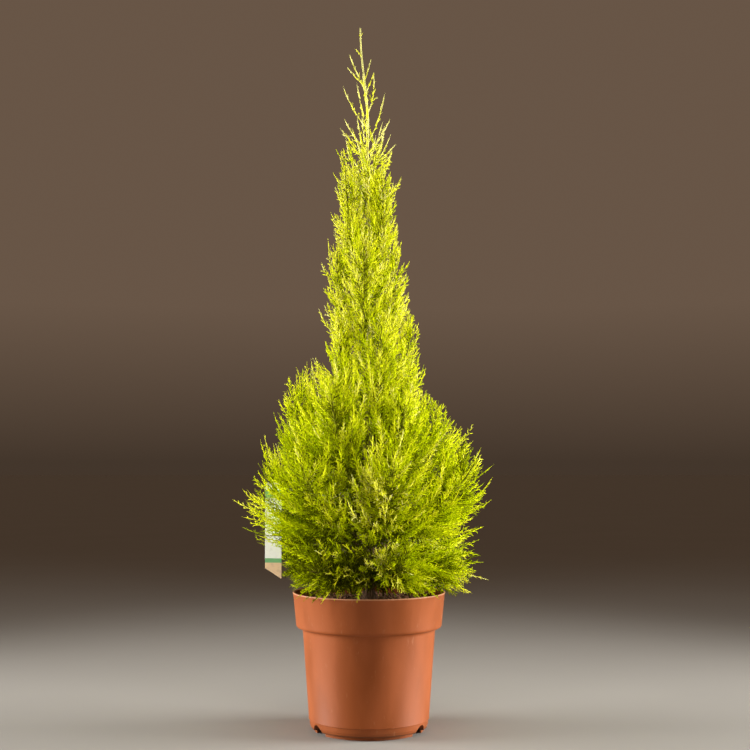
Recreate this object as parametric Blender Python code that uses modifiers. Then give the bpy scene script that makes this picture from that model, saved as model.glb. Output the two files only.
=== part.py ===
"""Lemon cypress: a young golden conifer with feathery foliage, growing in a round plastic nursery pot.

Metres, +Z up. The origin is the middle of the pot's underside, the front of the plant faces -Y.
The trunk runs whole from a flat cut on the soil to the leader's tip. Boughs leave it in tiers, and each
carries one plume-shaped mass: a stem, a slim core, and toothed sprays that stand out of the core.
A mass keeps to its own space, the points that lie nearer to its stem than to any other stem.
"""

import collections
import math
import random

import bmesh
import bpy
import numpy as np
from mathutils import Quaternion, Vector

SEED = 19
CLEARANCE = 0.0003
UP = Vector((0, 0, 1))

# Pot: a 19 cm container, with a deep collar, a raised floor and three drainage notches in its skirt
RIM_RADIUS = 0.0950
POT_HEIGHT = 0.1710
POT_WALL = 0.0018
COLLAR_HEIGHT = 0.0440
COLLAR_FOOT_RADIUS = 0.0906
SHOULDER_RADIUS = 0.0824
HEEL_RADIUS = 0.0738
HEEL_HEIGHT = 0.0135
FOOT_RADIUS = 0.0682
FOOT_STEP_HEIGHT = 0.0040
FOOT_WIDTH = 0.0034
FLOOR_UNDERSIDE = 0.0105
LIP_ROUNDING = 0.0010
NOTCH_WIDTH = 0.0200
NOTCH_HEIGHT = 0.0112
NOTCH_SIDES = 14
NOTCH_DEPTH = 0.040
NOTCH_AZIMUTHS = (-150, -30, 90)
FLOOR_THICKNESS = 0.0022
TURN_STEPS = 40

# Soil: it fills the pot to just under the rim, a little higher round the trunk
SOIL_EDGE = 0.1590
SOIL_CROWN = 0.1620
SOIL_FLAT_RADIUS = 0.0160
SOIL_SLOPE_RADIUS = 0.0600

# Trunk: it sways a little all the way up, and the leader nods to the left at the top
TREE_TOP = 0.8800
FLARE_RADIUS = 0.0105
BUTT_RADIUS = 0.0066
TIP_RADIUS = 0.0008
FLARE_HEIGHT = 0.0220
TRUNK_TAPER = 1.20
TRUNK_STEPS = 22
RING_CROWDING = 1.25
NOD = -0.0130
NOD_HEIGHTS = (0.745, 0.872)
SWAY = 0.0022
SWAY_WAVELENGTH = 0.31
SWAY_HEIGHTS = (0.19, 0.26)
SWAY_DEPTH_SHARE = 0.6

# Crown: height, then its radius on the left side and on the right, as seen in outline
CROWN = (
    (0.168, 0.104, 0.134), (0.200, 0.130, 0.142), (0.240, 0.152, 0.142), (0.285, 0.166, 0.152),
    (0.335, 0.146, 0.154), (0.370, 0.128, 0.134), (0.400, 0.117, 0.106), (0.435, 0.108, 0.079),
    (0.462, 0.082, 0.070), (0.490, 0.058, 0.066), (0.550, 0.059, 0.051), (0.610, 0.052, 0.042),
    (0.650, 0.048, 0.038), (0.700, 0.041, 0.036), (0.750, 0.036, 0.028), (0.800, 0.033, 0.021),
    (0.850, 0.022, 0.012), (0.885, 0.006, 0.006),
)
LOWEST_FOLIAGE = 0.1745
SPACE_MARGIN = 0.0009

# Tiers, from the pot upwards. Azimuths and the lift above the horizon are in degrees. swell is how far
# the limb bows outwards before it turns up, as a share of its reach. Each step is per limb of the tier.
# A limb ends this far inside the crown, and a shoulder limb on the right ends lower than one on the left.
Tier = collections.namedtuple(
    "Tier",
    "name count azimuth turn root root_step lift swell reach reach_step tip_height tip_step "
    "bough core spray sprays",
)
TIERS = (
    Tier("hem", 6, 230, 60.0, 0.182, 0.016, 8, 0.50, 0.124, 0, 0.208, 0, 0.22, 0.036, 0.040, 6),
    Tier("skirt", 7, 182, 51.43, 0.215, 0.018, 20, 0.70, 0.139, 0, 0.332, 0, 0.24, 0.048, 0.044, 7),
    Tier("shoulder", 6, 180, 60.0, 0.256, 0.018, 32, 0.78, 0.097, 0, 0.434, 0, 0.34, 0.046, 0.044, 7),
    Tier("neck", 5, 216, 72.0, 0.310, 0.020, 48, 0.80, 0.056, 0, 0.505, 0, 0.0, 0.034, 0.040, 7),
    Tier("column", 4, 170, 90.0, 0.400, 0.022, 60, 0.85, 0.042, 0, 0.602, 0, 0.0, 0.030, 0.036, 7),
    Tier("steeple", 3, 200, 120.0, 0.505, 0.026, 66, 0.85, 0.030, 0, 0.695, 0, 0.0, 0.025, 0.032, 7),
    Tier("spire", 6, 190, 137.5, 0.655, 0.029, 62, 0.80, 0.028, -0.0022, 0.735, 0.0225, 0.0, 0.0, 0.026, 5),
)
TIP_ROOM = 0.010
SPIRE_TIP_ROOM = 0.003
SHOULDER_DROP = 0.030
LIMB_TURN_SCATTER = 3
LIMB_REACH_SCATTER = 0.03
LIMB_HEIGHT_SCATTER = 0.006
LIMB_BEND_SHARE = 0.7
BOUGH_ROOT_RADIUS = 0.0030
STEM_RADIUS = 0.0019
SPIRE_STEM_RADIUS = 0.0011
LIMB_SEGMENTS = 8
STEM_STEPS = 4
STEM_TAPER = 0.55
BOUGH_STEPS = 5
GOLDEN_ANGLE = 137.508

# One spray: a flat toothed blade. Its outline is in shares of its length and width, tip first.
SPRAY_OUTLINE = (
    (1, 0), (0.78, 0.36), (0.54, 0.13), (0.48, 0.50), (0, 0), (0.48, -0.50), (0.54, -0.13), (0.78, -0.36),
)
SPRAY_WIDTH_SHARE = 0.36
TIP_SPRAY_WIDTH_SHARE = 0.42
SPRAY_THICKNESS = 0.0011
SHORTEST_SPRAY = 0.011
SHORTEST_SPRAY_SHARE = 0.5
SPRAY_SPREAD = (34, 48)
SPRAY_SCATTER = (0.85, 1.10)
SPRAY_TILT = 1.2
SPRAY_TRIES = 6
LAST_SPRAY = 0.97
PROBE_STEP = 0.003

# A core fills this share of its space. A spray roots at this share of the core's radius. Its outward
# direction keeps within so much of the side that faces out of the crown.
CORE_SHARE = 0.90
CORE_INSET = 0.007
CORE_LAST = 0.94
CORE_SIDES = 8
CORE_RINGS = 7
STEM_LAST = 0.98
FIRST_CORE = 0.03
FIRST_SPIRE_SPRAY = 0.30
FIRST_SPRAY = 0.04
SPRAY_DEPTH = 0.72
OPEN_SIDE = -0.30

# Care tag: a bare plastic label that hangs by its strap from a bough on the left
TAG_BOUGH = "shoulder_bough_1"
TAG_BOUGH_SHARE = 0.86
TAG_WIDTH = 0.0213
TAG_HEIGHT = 0.1200
TAG_SLANT = 0.0130
TAG_THICKNESS = 0.0008
TAG_LEFT = -0.1300
TAG_TOP = 0.3068
TAG_TURN = 12
STRAP_WIDTH = 0.0045
STRAP_OVERLAP = 0.0040
RING_WIRE = 0.0009
TAG_ROOM = 0.0016

MATERIALS = {
    "pot_plastic": ((0.62, 0.21, 0.09), 0.38),
    "soil": ((0.045, 0.026, 0.016), 0.95),
    "bark": ((0.17, 0.10, 0.055), 0.85),
    "foliage": ((0.45, 0.50, 0.03), 0.60),
    "tag_plastic": ((0.85, 0.86, 0.82), 0.35),
}

Limb = collections.namedtuple("Limb", "tier name azimuth points")


def clear_scene():
    for old in list(bpy.data.objects):
        bpy.data.objects.remove(old)


def collection_named(name):
    made = bpy.data.collections.new(name)
    bpy.context.scene.collection.children.link(made)
    return made


def material_named(name):
    found = bpy.data.materials.get(name)
    if found:
        return found
    colour, roughness = MATERIALS[name]
    made = bpy.data.materials.new(name)
    made.use_nodes = True
    shader = made.node_tree.nodes["Principled BSDF"]
    shader.inputs["Base Color"].default_value = (*colour, 1)
    shader.inputs["Roughness"].default_value = roughness
    shader.inputs["Metallic"].default_value = 0
    return made


def mesh_object(name, mesh, collection, material):
    made = bpy.data.objects.new(name, mesh)
    if material:
        mesh.materials.clear()
        mesh.materials.append(material_named(material))
    collection.objects.link(made)
    return made


def object_from_bmesh(name, shape, collection, material=None):
    mesh = bpy.data.meshes.new(name)
    shape.to_mesh(mesh)
    shape.free()
    return mesh_object(name, mesh, collection, material)


def helper(made):
    """Marks a cutter, which shapes other pieces and is no piece itself."""
    made.hide_render = True
    made.display_type = "WIRE"
    return made


def evaluated_mesh(source):
    bpy.context.view_layer.update()
    graph = bpy.context.evaluated_depsgraph_get()
    return bpy.data.meshes.new_from_object(source.evaluated_get(graph))


def tube(name, points, radii, collection, material=None, roundness=1):
    """A tapering limb along points, as a closed mesh."""
    line = bpy.data.curves.new(name, "CURVE")
    line.dimensions = "3D"
    line.bevel_depth = 1.0
    line.bevel_resolution = roundness
    line.use_fill_caps = True
    spline = line.splines.new("POLY")
    spline.points.add(len(points) - 1)
    for knot, place, radius in zip(spline.points, points, radii):
        knot.co = (*place, 1)
        knot.radius = radius
    guide = bpy.data.objects.new(name + "_line", line)
    bpy.context.scene.collection.objects.link(guide)
    mesh = evaluated_mesh(guide)
    bpy.data.objects.remove(guide)
    shape = bmesh.new()
    shape.from_mesh(mesh)
    bmesh.ops.remove_doubles(shape, verts=shape.verts, dist=1e-6)
    bmesh.ops.recalc_face_normals(shape, faces=shape.faces)
    return object_from_bmesh(name, shape, collection, material)


def turned(name, profile, collection, material=None):
    """A solid turned round the Z axis from a profile that starts and ends on it, down its outer side."""
    mesh = bpy.data.meshes.new(name)
    edges = [(i, i + 1) for i in range(len(profile) - 1)]
    mesh.from_pydata([(r, 0, z) for r, z in profile], edges, [])
    made = mesh_object(name, mesh, collection, material)
    turn = made.modifiers.new("Turn", "SCREW")
    turn.steps = TURN_STEPS
    turn.render_steps = TURN_STEPS
    turn.use_merge_vertices = True
    turn.merge_threshold = 1e-5
    return made


def apply_modifiers(made):
    """Replaces the object's mesh with what its modifiers make of it."""
    mesh = evaluated_mesh(made)
    made.modifiers.clear()
    made.data = mesh
    return made


def boolean(made, operation, collection=None, other=None, solver="EXACT"):
    step = made.modifiers.new(operation.title(), "BOOLEAN")
    step.operation = operation
    step.solver = solver
    if collection:
        step.operand_type = "COLLECTION"
        step.collection = collection
    else:
        step.object = other
    return apply_modifiers(made)


def keep_largest_body(made):
    """Drops the loose scraps that a cut leaves."""
    shape = bmesh.new()
    shape.from_mesh(made.data)
    left = set(shape.verts)
    bodies = []
    while left:
        found, edge = set(), [left.pop()]
        while edge:
            vertex = edge.pop()
            found.add(vertex)
            near = {e.other_vert(vertex) for e in vertex.link_edges} & left
            left -= near
            edge.extend(near)
        bodies.append(found)
    bodies.sort(key=len)
    for scrap in bodies[:-1]:
        bmesh.ops.delete(shape, geom=list(scrap), context="VERTS")
    shape.to_mesh(made.data)
    shape.free()


def is_closed(made):
    shape = bmesh.new()
    shape.from_mesh(made.data)
    closed = len(shape.faces) > 0 and all(e.is_manifold for e in shape.edges)
    shape.free()
    return closed


def smoothstep(low, high, value):
    share = min(1.0, max(0.0, (value - low) / (high - low)))
    return share * share * (3 - 2 * share)


def crown_radius(height, azimuth):
    heights, left, right = zip(*CROWN)
    left_reach = float(np.interp(height, heights, left))
    right_share = (1 + math.cos(azimuth)) / 2
    return left_reach + (float(np.interp(height, heights, right)) - left_reach) * right_share


def trunk_place(height):
    """The trunk's centre line: nearly plumb, with the leader nodding to the left at the top."""
    nod = NOD * smoothstep(*NOD_HEIGHTS, height)
    wave = math.sin(math.tau * (height - SOIL_CROWN) / SWAY_WAVELENGTH)
    sway = SWAY * wave * smoothstep(*SWAY_HEIGHTS, height)
    return Vector((nod + sway, SWAY_DEPTH_SHARE * sway, height))


def trunk_radius(height):
    rise = height - SOIL_CROWN
    flare = (FLARE_RADIUS - BUTT_RADIUS) * max(0.0, 1 - rise / FLARE_HEIGHT) ** 2
    share = rise / (TREE_TOP - SOIL_CROWN)
    return TIP_RADIUS + (BUTT_RADIUS - TIP_RADIUS) * (1 - share) ** TRUNK_TAPER + flare


def trunk_line():
    """Heights of the trunk's rings, closer together in the root flare."""
    foot = SOIL_CROWN + CLEARANCE
    return [foot + (TREE_TOP - foot) * (i / TRUNK_STEPS) ** RING_CROWDING for i in range(TRUNK_STEPS + 1)]


def make_trunk(collection):
    heights = trunk_line()
    places = [trunk_place(h) for h in heights]
    places[1].x, places[1].y = places[0].x, places[0].y
    return tube("trunk", places, [trunk_radius(h) for h in heights], collection, "bark", roundness=2)


def make_trunk_cutter(collection):
    """The trunk with the clearance that limbs and masses keep to it. It starts lower and ends higher."""
    heights = trunk_line()
    places = [trunk_place(h) for h in heights]
    places[0] = places[0] - UP * 0.004
    places.append(places[-1] + UP * 0.01)
    radii = [trunk_radius(h) + CLEARANCE * 1.15 for h in heights]
    cutter = tube("trunk_clearance", places, radii + radii[-1:], collection, roundness=2)
    return helper(cutter)


def arch(azimuth):
    """Cutter for one drainage notch: a flattened round bar that runs out through the skirt."""
    shape = bmesh.new()
    bmesh.ops.create_cone(
        shape, cap_ends=True, segments=NOTCH_SIDES, radius1=1, radius2=1, depth=NOTCH_DEPTH)
    outward = Vector((math.cos(azimuth), math.sin(azimuth), 0))
    side = UP.cross(outward)
    for v in shape.verts:
        x, y, z = v.co
        v.co = outward * (FOOT_RADIUS + z) + side * (x * NOTCH_WIDTH / 2) + UP * (y * NOTCH_HEIGHT)
    bmesh.ops.recalc_face_normals(shape, faces=shape.faces)
    return shape


def make_pot(collection, cutters):
    step = POT_HEIGHT - COLLAR_HEIGHT
    inside = POT_WALL
    floor = FLOOR_UNDERSIDE + FLOOR_THICKNESS
    profile = [
        (0, floor),
        (HEEL_RADIUS - inside, floor),
        (SHOULDER_RADIUS - inside, step - 0.001),
        (COLLAR_FOOT_RADIUS - inside, step + 0.0016),
        (RIM_RADIUS - 0.0006 - inside, POT_HEIGHT - 0.0004),
        (RIM_RADIUS - inside, POT_HEIGHT),
        (RIM_RADIUS - 0.0004, POT_HEIGHT),
        (RIM_RADIUS, POT_HEIGHT - LIP_ROUNDING),
        (RIM_RADIUS - 0.0006, POT_HEIGHT - 0.0030),
        (COLLAR_FOOT_RADIUS, step + 0.0018),
        (COLLAR_FOOT_RADIUS - 0.0014, step),
        (SHOULDER_RADIUS, step - 0.0008),
        (HEEL_RADIUS + 0.0007, HEEL_HEIGHT),
        (HEEL_RADIUS, HEEL_HEIGHT - 0.0010),
        (HEEL_RADIUS - 0.0021, FOOT_STEP_HEIGHT),
        (FOOT_RADIUS, FOOT_STEP_HEIGHT - 0.0004),
        (FOOT_RADIUS - 0.0002, 0),
        (FOOT_RADIUS - FOOT_WIDTH, 0),
        (FOOT_RADIUS - FOOT_WIDTH, FLOOR_UNDERSIDE),
        (0, FLOOR_UNDERSIDE),
    ]
    pot = apply_modifiers(turned("pot", profile, collection, "pot_plastic"))
    for i, degrees in enumerate(NOTCH_AZIMUTHS):
        notch = object_from_bmesh(f"notch_{i + 1}", arch(math.radians(degrees)), cutters)
        boolean(pot, "DIFFERENCE", other=helper(notch))
    pot.data.shade_smooth()
    pot.data.set_sharp_from_angle(angle=math.radians(30))
    return pot


def make_soil(collection):
    step = POT_HEIGHT - COLLAR_HEIGHT
    gap = POT_WALL + CLEARANCE * 1.2
    floor = FLOOR_UNDERSIDE + FLOOR_THICKNESS + CLEARANCE
    edge_share = (SOIL_EDGE - step) / COLLAR_HEIGHT
    edge = COLLAR_FOOT_RADIUS + (RIM_RADIUS - 0.0006 - COLLAR_FOOT_RADIUS) * edge_share - gap
    profile = [
        (0, SOIL_CROWN),
        (SOIL_FLAT_RADIUS, SOIL_CROWN),
        (SOIL_SLOPE_RADIUS, SOIL_EDGE),
        (edge, SOIL_EDGE),
        (COLLAR_FOOT_RADIUS - gap - 0.0003, step + 0.0022),
        (SHOULDER_RADIUS - gap - 0.0002, step - 0.0006),
        (HEEL_RADIUS - gap - 0.0002, floor),
        (0, floor),
    ]
    return apply_modifiers(turned("soil", profile, collection, "soil"))


def bezier(start, middle, end, share):
    return start * (1 - share) ** 2 + middle * (2 * share * (1 - share)) + end * share**2


def lay_out_limbs(rng):
    """The centre line of every limb, from the trunk to the tip of its mass."""
    limbs = []
    for tier in TIERS:
        for i in range(tier.count):
            scatter = rng.uniform(-LIMB_TURN_SCATTER, LIMB_TURN_SCATTER)
            azimuth = math.radians(tier.azimuth + i * tier.turn + scatter)
            outward = Vector((math.cos(azimuth), math.sin(azimuth), 0))
            stagger = i if tier.name == "spire" else (2 * i) % tier.count / tier.count
            root_height = tier.root + tier.root_step * stagger
            reach = tier.reach + tier.reach_step * i
            reach *= rng.uniform(1 - LIMB_REACH_SCATTER, 1 + LIMB_REACH_SCATTER)
            tip_height = tier.tip_height + tier.tip_step * i
            tip_height += rng.uniform(-LIMB_HEIGHT_SCATTER, LIMB_HEIGHT_SCATTER)
            if tier.name == "shoulder":
                tip_height -= SHOULDER_DROP * (1 + math.cos(azimuth)) / 2
            tip_room = SPIRE_TIP_ROOM if tier.name == "spire" else TIP_ROOM
            reach = min(reach, crown_radius(tip_height, azimuth) - tip_room)
            start = trunk_place(root_height)
            end = trunk_place(tip_height) + outward * reach
            swell = outward * (reach * tier.swell)
            middle = start + swell + UP * (reach * tier.swell * math.tan(math.radians(tier.lift)))
            if tier.name != "hem":
                middle.z = min(middle.z, start.z + LIMB_BEND_SHARE * (tip_height - start.z))
            points = [bezier(start, middle, end, s / LIMB_SEGMENTS) for s in range(LIMB_SEGMENTS + 1)]
            limbs.append(Limb(tier, f"{tier.name}_{i + 1}", azimuth, points))
    return limbs


def along(limb, share):
    """The place and direction at a share of the limb's length."""
    place = min(max(share, 0.0), 1.0) * LIMB_SEGMENTS
    i = min(int(place), LIMB_SEGMENTS - 1)
    a, b = limb.points[i], limb.points[i + 1]
    return a.lerp(b, place - i), (b - a).normalized()


def frame_at(limb, share):
    """Place, direction, and two directions square to it: sideways, and in the limb's upright plane."""
    place, direction = along(limb, share)
    side = Vector((-math.sin(limb.azimuth), math.cos(limb.azimuth), 0))
    side = (side - direction * side.dot(direction)).normalized()
    return place, direction, side, direction.cross(side)


class Spaces:
    """Shares out the crown: a point belongs to the limb whose centre line is nearest."""

    def __init__(self, limbs):
        starts, ends, owners = [], [], []
        for n, limb in enumerate(limbs):
            for a, b in zip(limb.points, limb.points[1:]):
                starts.append(a)
                ends.append(b)
                owners.append(n)
        self.starts = np.array(starts)
        self.runs = np.array(ends) - self.starts
        self.squares = (self.runs**2).sum(1)
        self.owners = np.array(owners)

    def owns(self, n, point, inset=0.0):
        p = np.array(point)
        share = np.clip(((p - self.starts) * self.runs).sum(1) / self.squares, 0, 1)
        gaps = np.linalg.norm(self.starts + self.runs * share[:, None] - p, axis=1)
        mine = gaps[self.owners == n].min()
        other = gaps[self.owners != n].min()
        if mine + SPACE_MARGIN > other:
            return False
        centre = trunk_place(min(point[2], TREE_TOP))
        x, y = point[0] - centre.x, point[1] - centre.y
        edge = crown_radius(point[2], math.atan2(y, x))
        return point[2] > LOWEST_FOLIAGE and math.hypot(x, y) < edge - inset

    def room(self, n, start, direction, furthest, inset=0.0):
        """How far one can go from start before leaving the limb's space, or coming near the crown's edge."""
        gone = 0.0
        while gone < furthest and self.owns(n, start + direction * (gone + PROBE_STEP), inset):
            gone += PROBE_STEP
        return gone


def core_radius(limb, n, spaces, share, way, first):
    """The core's reach from the stem at a share of the limb's length, in the direction way."""
    level = 2 * (share - first) / (CORE_LAST - first) - 1
    place = along(limb, share)[0]
    room = spaces.room(n, place, way, limb.tier.core / CORE_SHARE, CORE_INSET)
    return math.sqrt(max(0.0, 1 - level**4)) * room * CORE_SHARE


def make_core(limb, n, spaces, first, collection):
    """A flame-shaped body round the stem, inside the mass's space."""
    shape = bmesh.new()
    bmesh.ops.create_uvsphere(shape, u_segments=CORE_SIDES, v_segments=CORE_RINGS, radius=1)
    for v in shape.verts:
        x, y, z = v.co
        share = first + (CORE_LAST - first) * (z + 1) / 2
        place, _, side, over = frame_at(limb, share)
        ring = math.hypot(x, y)
        if ring < 1e-4:
            v.co = place
            continue
        way = (side * x + over * y) / ring
        v.co = place + way * core_radius(limb, n, spaces, share, way, first)
    bmesh.ops.recalc_face_normals(shape, faces=shape.faces)
    return object_from_bmesh(limb.name + "_core", shape, collection)


def make_spray(name, root, direction, normal, length, width, collection):
    """One toothed blade of needles, from its root along direction."""
    shape = bmesh.new()
    corners = len(SPRAY_OUTLINE)
    bmesh.ops.create_cone(shape, cap_ends=True, segments=corners, radius1=1, radius2=1, depth=1)
    across = direction.cross(normal)
    for v in shape.verts:
        corner = round(math.atan2(v.co.x, v.co.y) / math.tau * corners) % corners
        u, w = SPRAY_OUTLINE[corner]
        lift = normal * (v.co.z * SPRAY_THICKNESS)
        v.co = root + direction * (u * length) + across * (w * width) + lift
    bmesh.ops.recalc_face_normals(shape, faces=shape.faces)
    return object_from_bmesh(name, shape, collection)


def spray_fits(n, spaces, root, direction, normal, length, width):
    across = direction.cross(normal)
    corners = [root + direction * (u * length) + across * (w * width) for u, w in SPRAY_OUTLINE if u]
    return all(spaces.owns(n, corner) for corner in corners)


def grow_sprays(limb, n, spaces, first, rng, collection):
    """Toothed blades that stand out of the core by the golden angle, and one that carries on from the tip."""
    tier = limb.tier
    place, direction, side, over = frame_at(limb, LAST_SPRAY - 0.01)
    tip_length = spaces.room(n, place, direction, tier.spray)
    if tip_length > SHORTEST_SPRAY:
        normal = Quaternion(direction, rng.uniform(-SPRAY_TILT, SPRAY_TILT)) @ over
        width = tip_length * TIP_SPRAY_WIDTH_SHARE
        make_spray(limb.name + "_tip", place, direction, normal, tip_length, width, collection)
    open_side = Vector((math.cos(limb.azimuth), math.sin(limb.azimuth), 0.5))
    angle = rng.uniform(0, 360)
    grown = 0
    for _ in range(tier.sprays * SPRAY_TRIES):
        if grown == tier.sprays:
            break
        share = first + (LAST_SPRAY - first) * (grown + 0.6) / tier.sprays
        place, direction, side, over = frame_at(limb, share)
        angle += GOLDEN_ANGLE
        outward = side * math.cos(math.radians(angle)) + over * math.sin(math.radians(angle))
        if tier.core and outward.dot(open_side) < OPEN_SIDE:
            continue
        spread = math.radians(rng.uniform(*SPRAY_SPREAD) * (1.15 - 0.45 * share))
        way = (direction * math.cos(spread) + outward * math.sin(spread)).normalized()
        root = place
        if tier.core:
            root = place + outward * (core_radius(limb, n, spaces, share, outward, first) * SPRAY_DEPTH)
        wanted = tier.spray * rng.uniform(*SPRAY_SCATTER) * (1.15 - 0.3 * share)
        length = spaces.room(n, root, way, wanted)
        width = length * SPRAY_WIDTH_SHARE
        normal = Quaternion(way, rng.uniform(-SPRAY_TILT, SPRAY_TILT)) @ way.cross(outward).normalized()
        if length < SHORTEST_SPRAY_SHARE * tier.spray:
            continue
        if spray_fits(n, spaces, root, way, normal, length, width):
            make_spray(f"{limb.name}_spray_{grown + 1}", root, way, normal, length, width, collection)
            grown += 1


def limb_run(limb, first, last, steps):
    return [along(limb, first + (last - first) * i / steps)[0] for i in range(steps + 1)]


def make_bough(limb, collection, trunk_cutter):
    """The bare limb from the trunk to where it enters its mass."""
    places = limb_run(limb, 0, limb.tier.bough, BOUGH_STEPS)
    thinning = (STEM_RADIUS - BOUGH_ROOT_RADIUS) / BOUGH_STEPS
    radii = [BOUGH_ROOT_RADIUS + thinning * i for i in range(BOUGH_STEPS + 1)]
    number = limb.name.rsplit("_", 1)[1]
    bough = tube(f"{limb.tier.name}_bough_{number}", places, radii, collection, "bark")
    boolean(bough, "DIFFERENCE", other=trunk_cutter)
    keep_largest_body(bough)
    return bough


def make_mass(limb, n, spaces, rng, collection, trunk_cutter, tag_cutter):
    """One mass: stem, core and sprays joined, cut clear of the trunk and of the tag."""
    tier = limb.tier
    loose = collection_named(limb.name + "_loose")
    begins = 0.0
    if tier.bough:
        begins = tier.bough + CLEARANCE * 1.1 / (limb.points[0] - limb.points[-1]).length
    thick = STEM_RADIUS if tier.core else SPIRE_STEM_RADIUS
    stem_points = limb_run(limb, begins, STEM_LAST, STEM_STEPS)
    stem_radii = [thick * (1 - STEM_TAPER * i / STEM_STEPS) for i in range(STEM_STEPS + 1)]
    mass = tube(limb.name, stem_points, stem_radii, collection, "foliage", roundness=1 if tier.core else 0)
    first = begins + (FIRST_CORE if tier.core else FIRST_SPIRE_SPRAY)
    if tier.core:
        make_core(limb, n, spaces, first, loose)
    grow_sprays(limb, n, spaces, first + FIRST_SPRAY, rng, loose)
    plain = mass.data.copy()
    for solver in ("EXACT", "MANIFOLD"):
        mass.data = plain.copy()
        boolean(mass, "UNION", collection=loose, solver=solver)
        boolean(mass, "DIFFERENCE", other=trunk_cutter, solver=solver)
        if touches_box(mass, tag_cutter):
            boolean(mass, "DIFFERENCE", other=tag_cutter, solver=solver)
        keep_largest_body(mass)
        if is_closed(mass):
            break
    for piece in list(loose.objects):
        bpy.data.objects.remove(piece)
    bpy.data.collections.remove(loose)
    mass.name = limb.name
    return mass


def corners_of(made):
    places = np.array([v.co for v in made.data.vertices])
    return places.min(0), places.max(0)


def touches_box(made, other):
    (low, high), (other_low, other_high) = corners_of(made), corners_of(other)
    return bool((low < other_high).all() and (other_low < high).all())


def tag_plate(name, left_top, across, room, collection, material):
    """The tag's plate: square at the top, and cut off at a slant below. room fattens it."""
    plate = bmesh.new()
    bmesh.ops.create_cone(plate, cap_ends=True, segments=4, radius1=1, radius2=1, depth=1)
    outline = ((0, 0), (TAG_WIDTH, 0), (TAG_WIDTH, -TAG_HEIGHT), (0, TAG_SLANT - TAG_HEIGHT))
    thin = across.cross(UP)
    for v in plate.verts:
        u, w = outline[round(math.atan2(v.co.x, v.co.y) / math.tau * 4) % 4]
        u += math.copysign(room, u - TAG_WIDTH / 2)
        w += math.copysign(room, w + TAG_HEIGHT / 2)
        v.co = left_top + across * u + UP * w + thin * (v.co.z * (TAG_THICKNESS + 2 * room))
    bmesh.ops.recalc_face_normals(plate, faces=plate.faces)
    return object_from_bmesh(name, plate, collection, material)


def tag_ring(name, place, axis, radius, room, collection):
    """The wire ring round the bough. With room it is a solid drum, which keeps foliage off the ring."""
    if room:
        half = axis * (RING_WIRE + room)
        thick = radius + RING_WIRE + room
        return tube(name, [place - half, place + half], [thick, thick], collection, roundness=2)
    turn = UP.rotation_difference(axis)
    bpy.ops.mesh.primitive_torus_add(
        major_segments=16, minor_segments=4, major_radius=radius, minor_radius=RING_WIRE,
        location=place, rotation=turn.to_euler(),
    )
    made = bpy.context.object
    made.name = name
    for holder in list(made.users_collection):
        holder.objects.unlink(made)
    collection.objects.link(made)
    return made


def tag_strap(name, top, foot, across, room, collection):
    """The flat strap from the ring down to the plate."""
    strap = bmesh.new()
    bmesh.ops.create_cube(strap, size=1)
    run = (foot - top).normalized()
    thin = run.cross(across).normalized()
    for v in strap.verts:
        end = foot if v.co.z > 0 else top
        v.co = (
            end + run * (v.co.z * 2 * room) + across * (v.co.x * (STRAP_WIDTH + 2 * room))
            + thin * (v.co.y * (TAG_THICKNESS + 2 * room))
        )
    bmesh.ops.recalc_face_normals(strap, faces=strap.faces)
    return object_from_bmesh(name, strap, collection)


def tag_solid(name, limb, room, collection, material=None):
    """The tag's plate, strap and ring. room fattens them, for the cutter that keeps foliage off."""
    place, axis, _, _ = frame_at(limb, limb.tier.bough * TAG_BOUGH_SHARE)
    bough_radius = STEM_RADIUS + (BOUGH_ROOT_RADIUS - STEM_RADIUS) * (1 - TAG_BOUGH_SHARE)
    ring_radius = bough_radius + CLEARANCE + RING_WIRE
    below = UP.cross(axis).cross(axis).normalized()
    below = below if below.z < 0 else -below
    turn = math.radians(TAG_TURN)
    across = Vector((math.cos(turn), -math.sin(turn), 0))
    left_top = Vector((TAG_LEFT, place.y, TAG_TOP))
    foot = left_top + across * (TAG_WIDTH / 2) - UP * STRAP_OVERLAP
    loose = collection_named(name + "_loose")
    tag = tag_plate(name, left_top, across, room, collection, material)
    tag_ring(name + "_ring", place, axis, ring_radius, room, loose)
    tag_strap(name + "_strap", place + below * (ring_radius + RING_WIRE * 0.4), foot, across, room, loose)
    boolean(tag, "UNION", collection=loose)
    for piece in list(loose.objects):
        bpy.data.objects.remove(piece)
    bpy.data.collections.remove(loose)
    return tag


def main():
    clear_scene()
    rng = random.Random(SEED)
    plant = collection_named("lemon_cypress")
    cutters = collection_named("cutters")
    make_pot(plant, cutters)
    make_soil(plant)
    make_trunk(plant)
    trunk_cutter = make_trunk_cutter(cutters)
    limbs = lay_out_limbs(rng)
    spaces = Spaces(limbs)
    tag_limb = next(limb for limb in limbs if limb.name == TAG_BOUGH.replace("_bough", ""))
    tag_solid("care_tag", tag_limb, 0.0, plant, "tag_plastic")
    tag_cutter = helper(tag_solid("tag_clearance", tag_limb, TAG_ROOM, cutters))
    for n, limb in enumerate(limbs):
        if limb.tier.bough:
            make_bough(limb, plant, trunk_cutter)
        make_mass(limb, n, spaces, rng, plant, trunk_cutter, tag_cutter)


main()
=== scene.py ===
"""Dresses the lemon cypress: a young golden conifer in a round plastic nursery pot.

Metres, +Z up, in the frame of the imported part. The limbs are laid out by the same rule and the same
named sizes as the part's source. Here the rule is carried on to plumes, twigs, branchlets and needles.
The file is laid out as an add-on: its settings, one operator for each group of pieces, and one panel.
A pair of numbers in brackets is the range that a value is drawn from, or the stretch of a ramp.
"""

import collections
import math
import random

import bpy
import numpy as np
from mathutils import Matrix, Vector, noise


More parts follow.
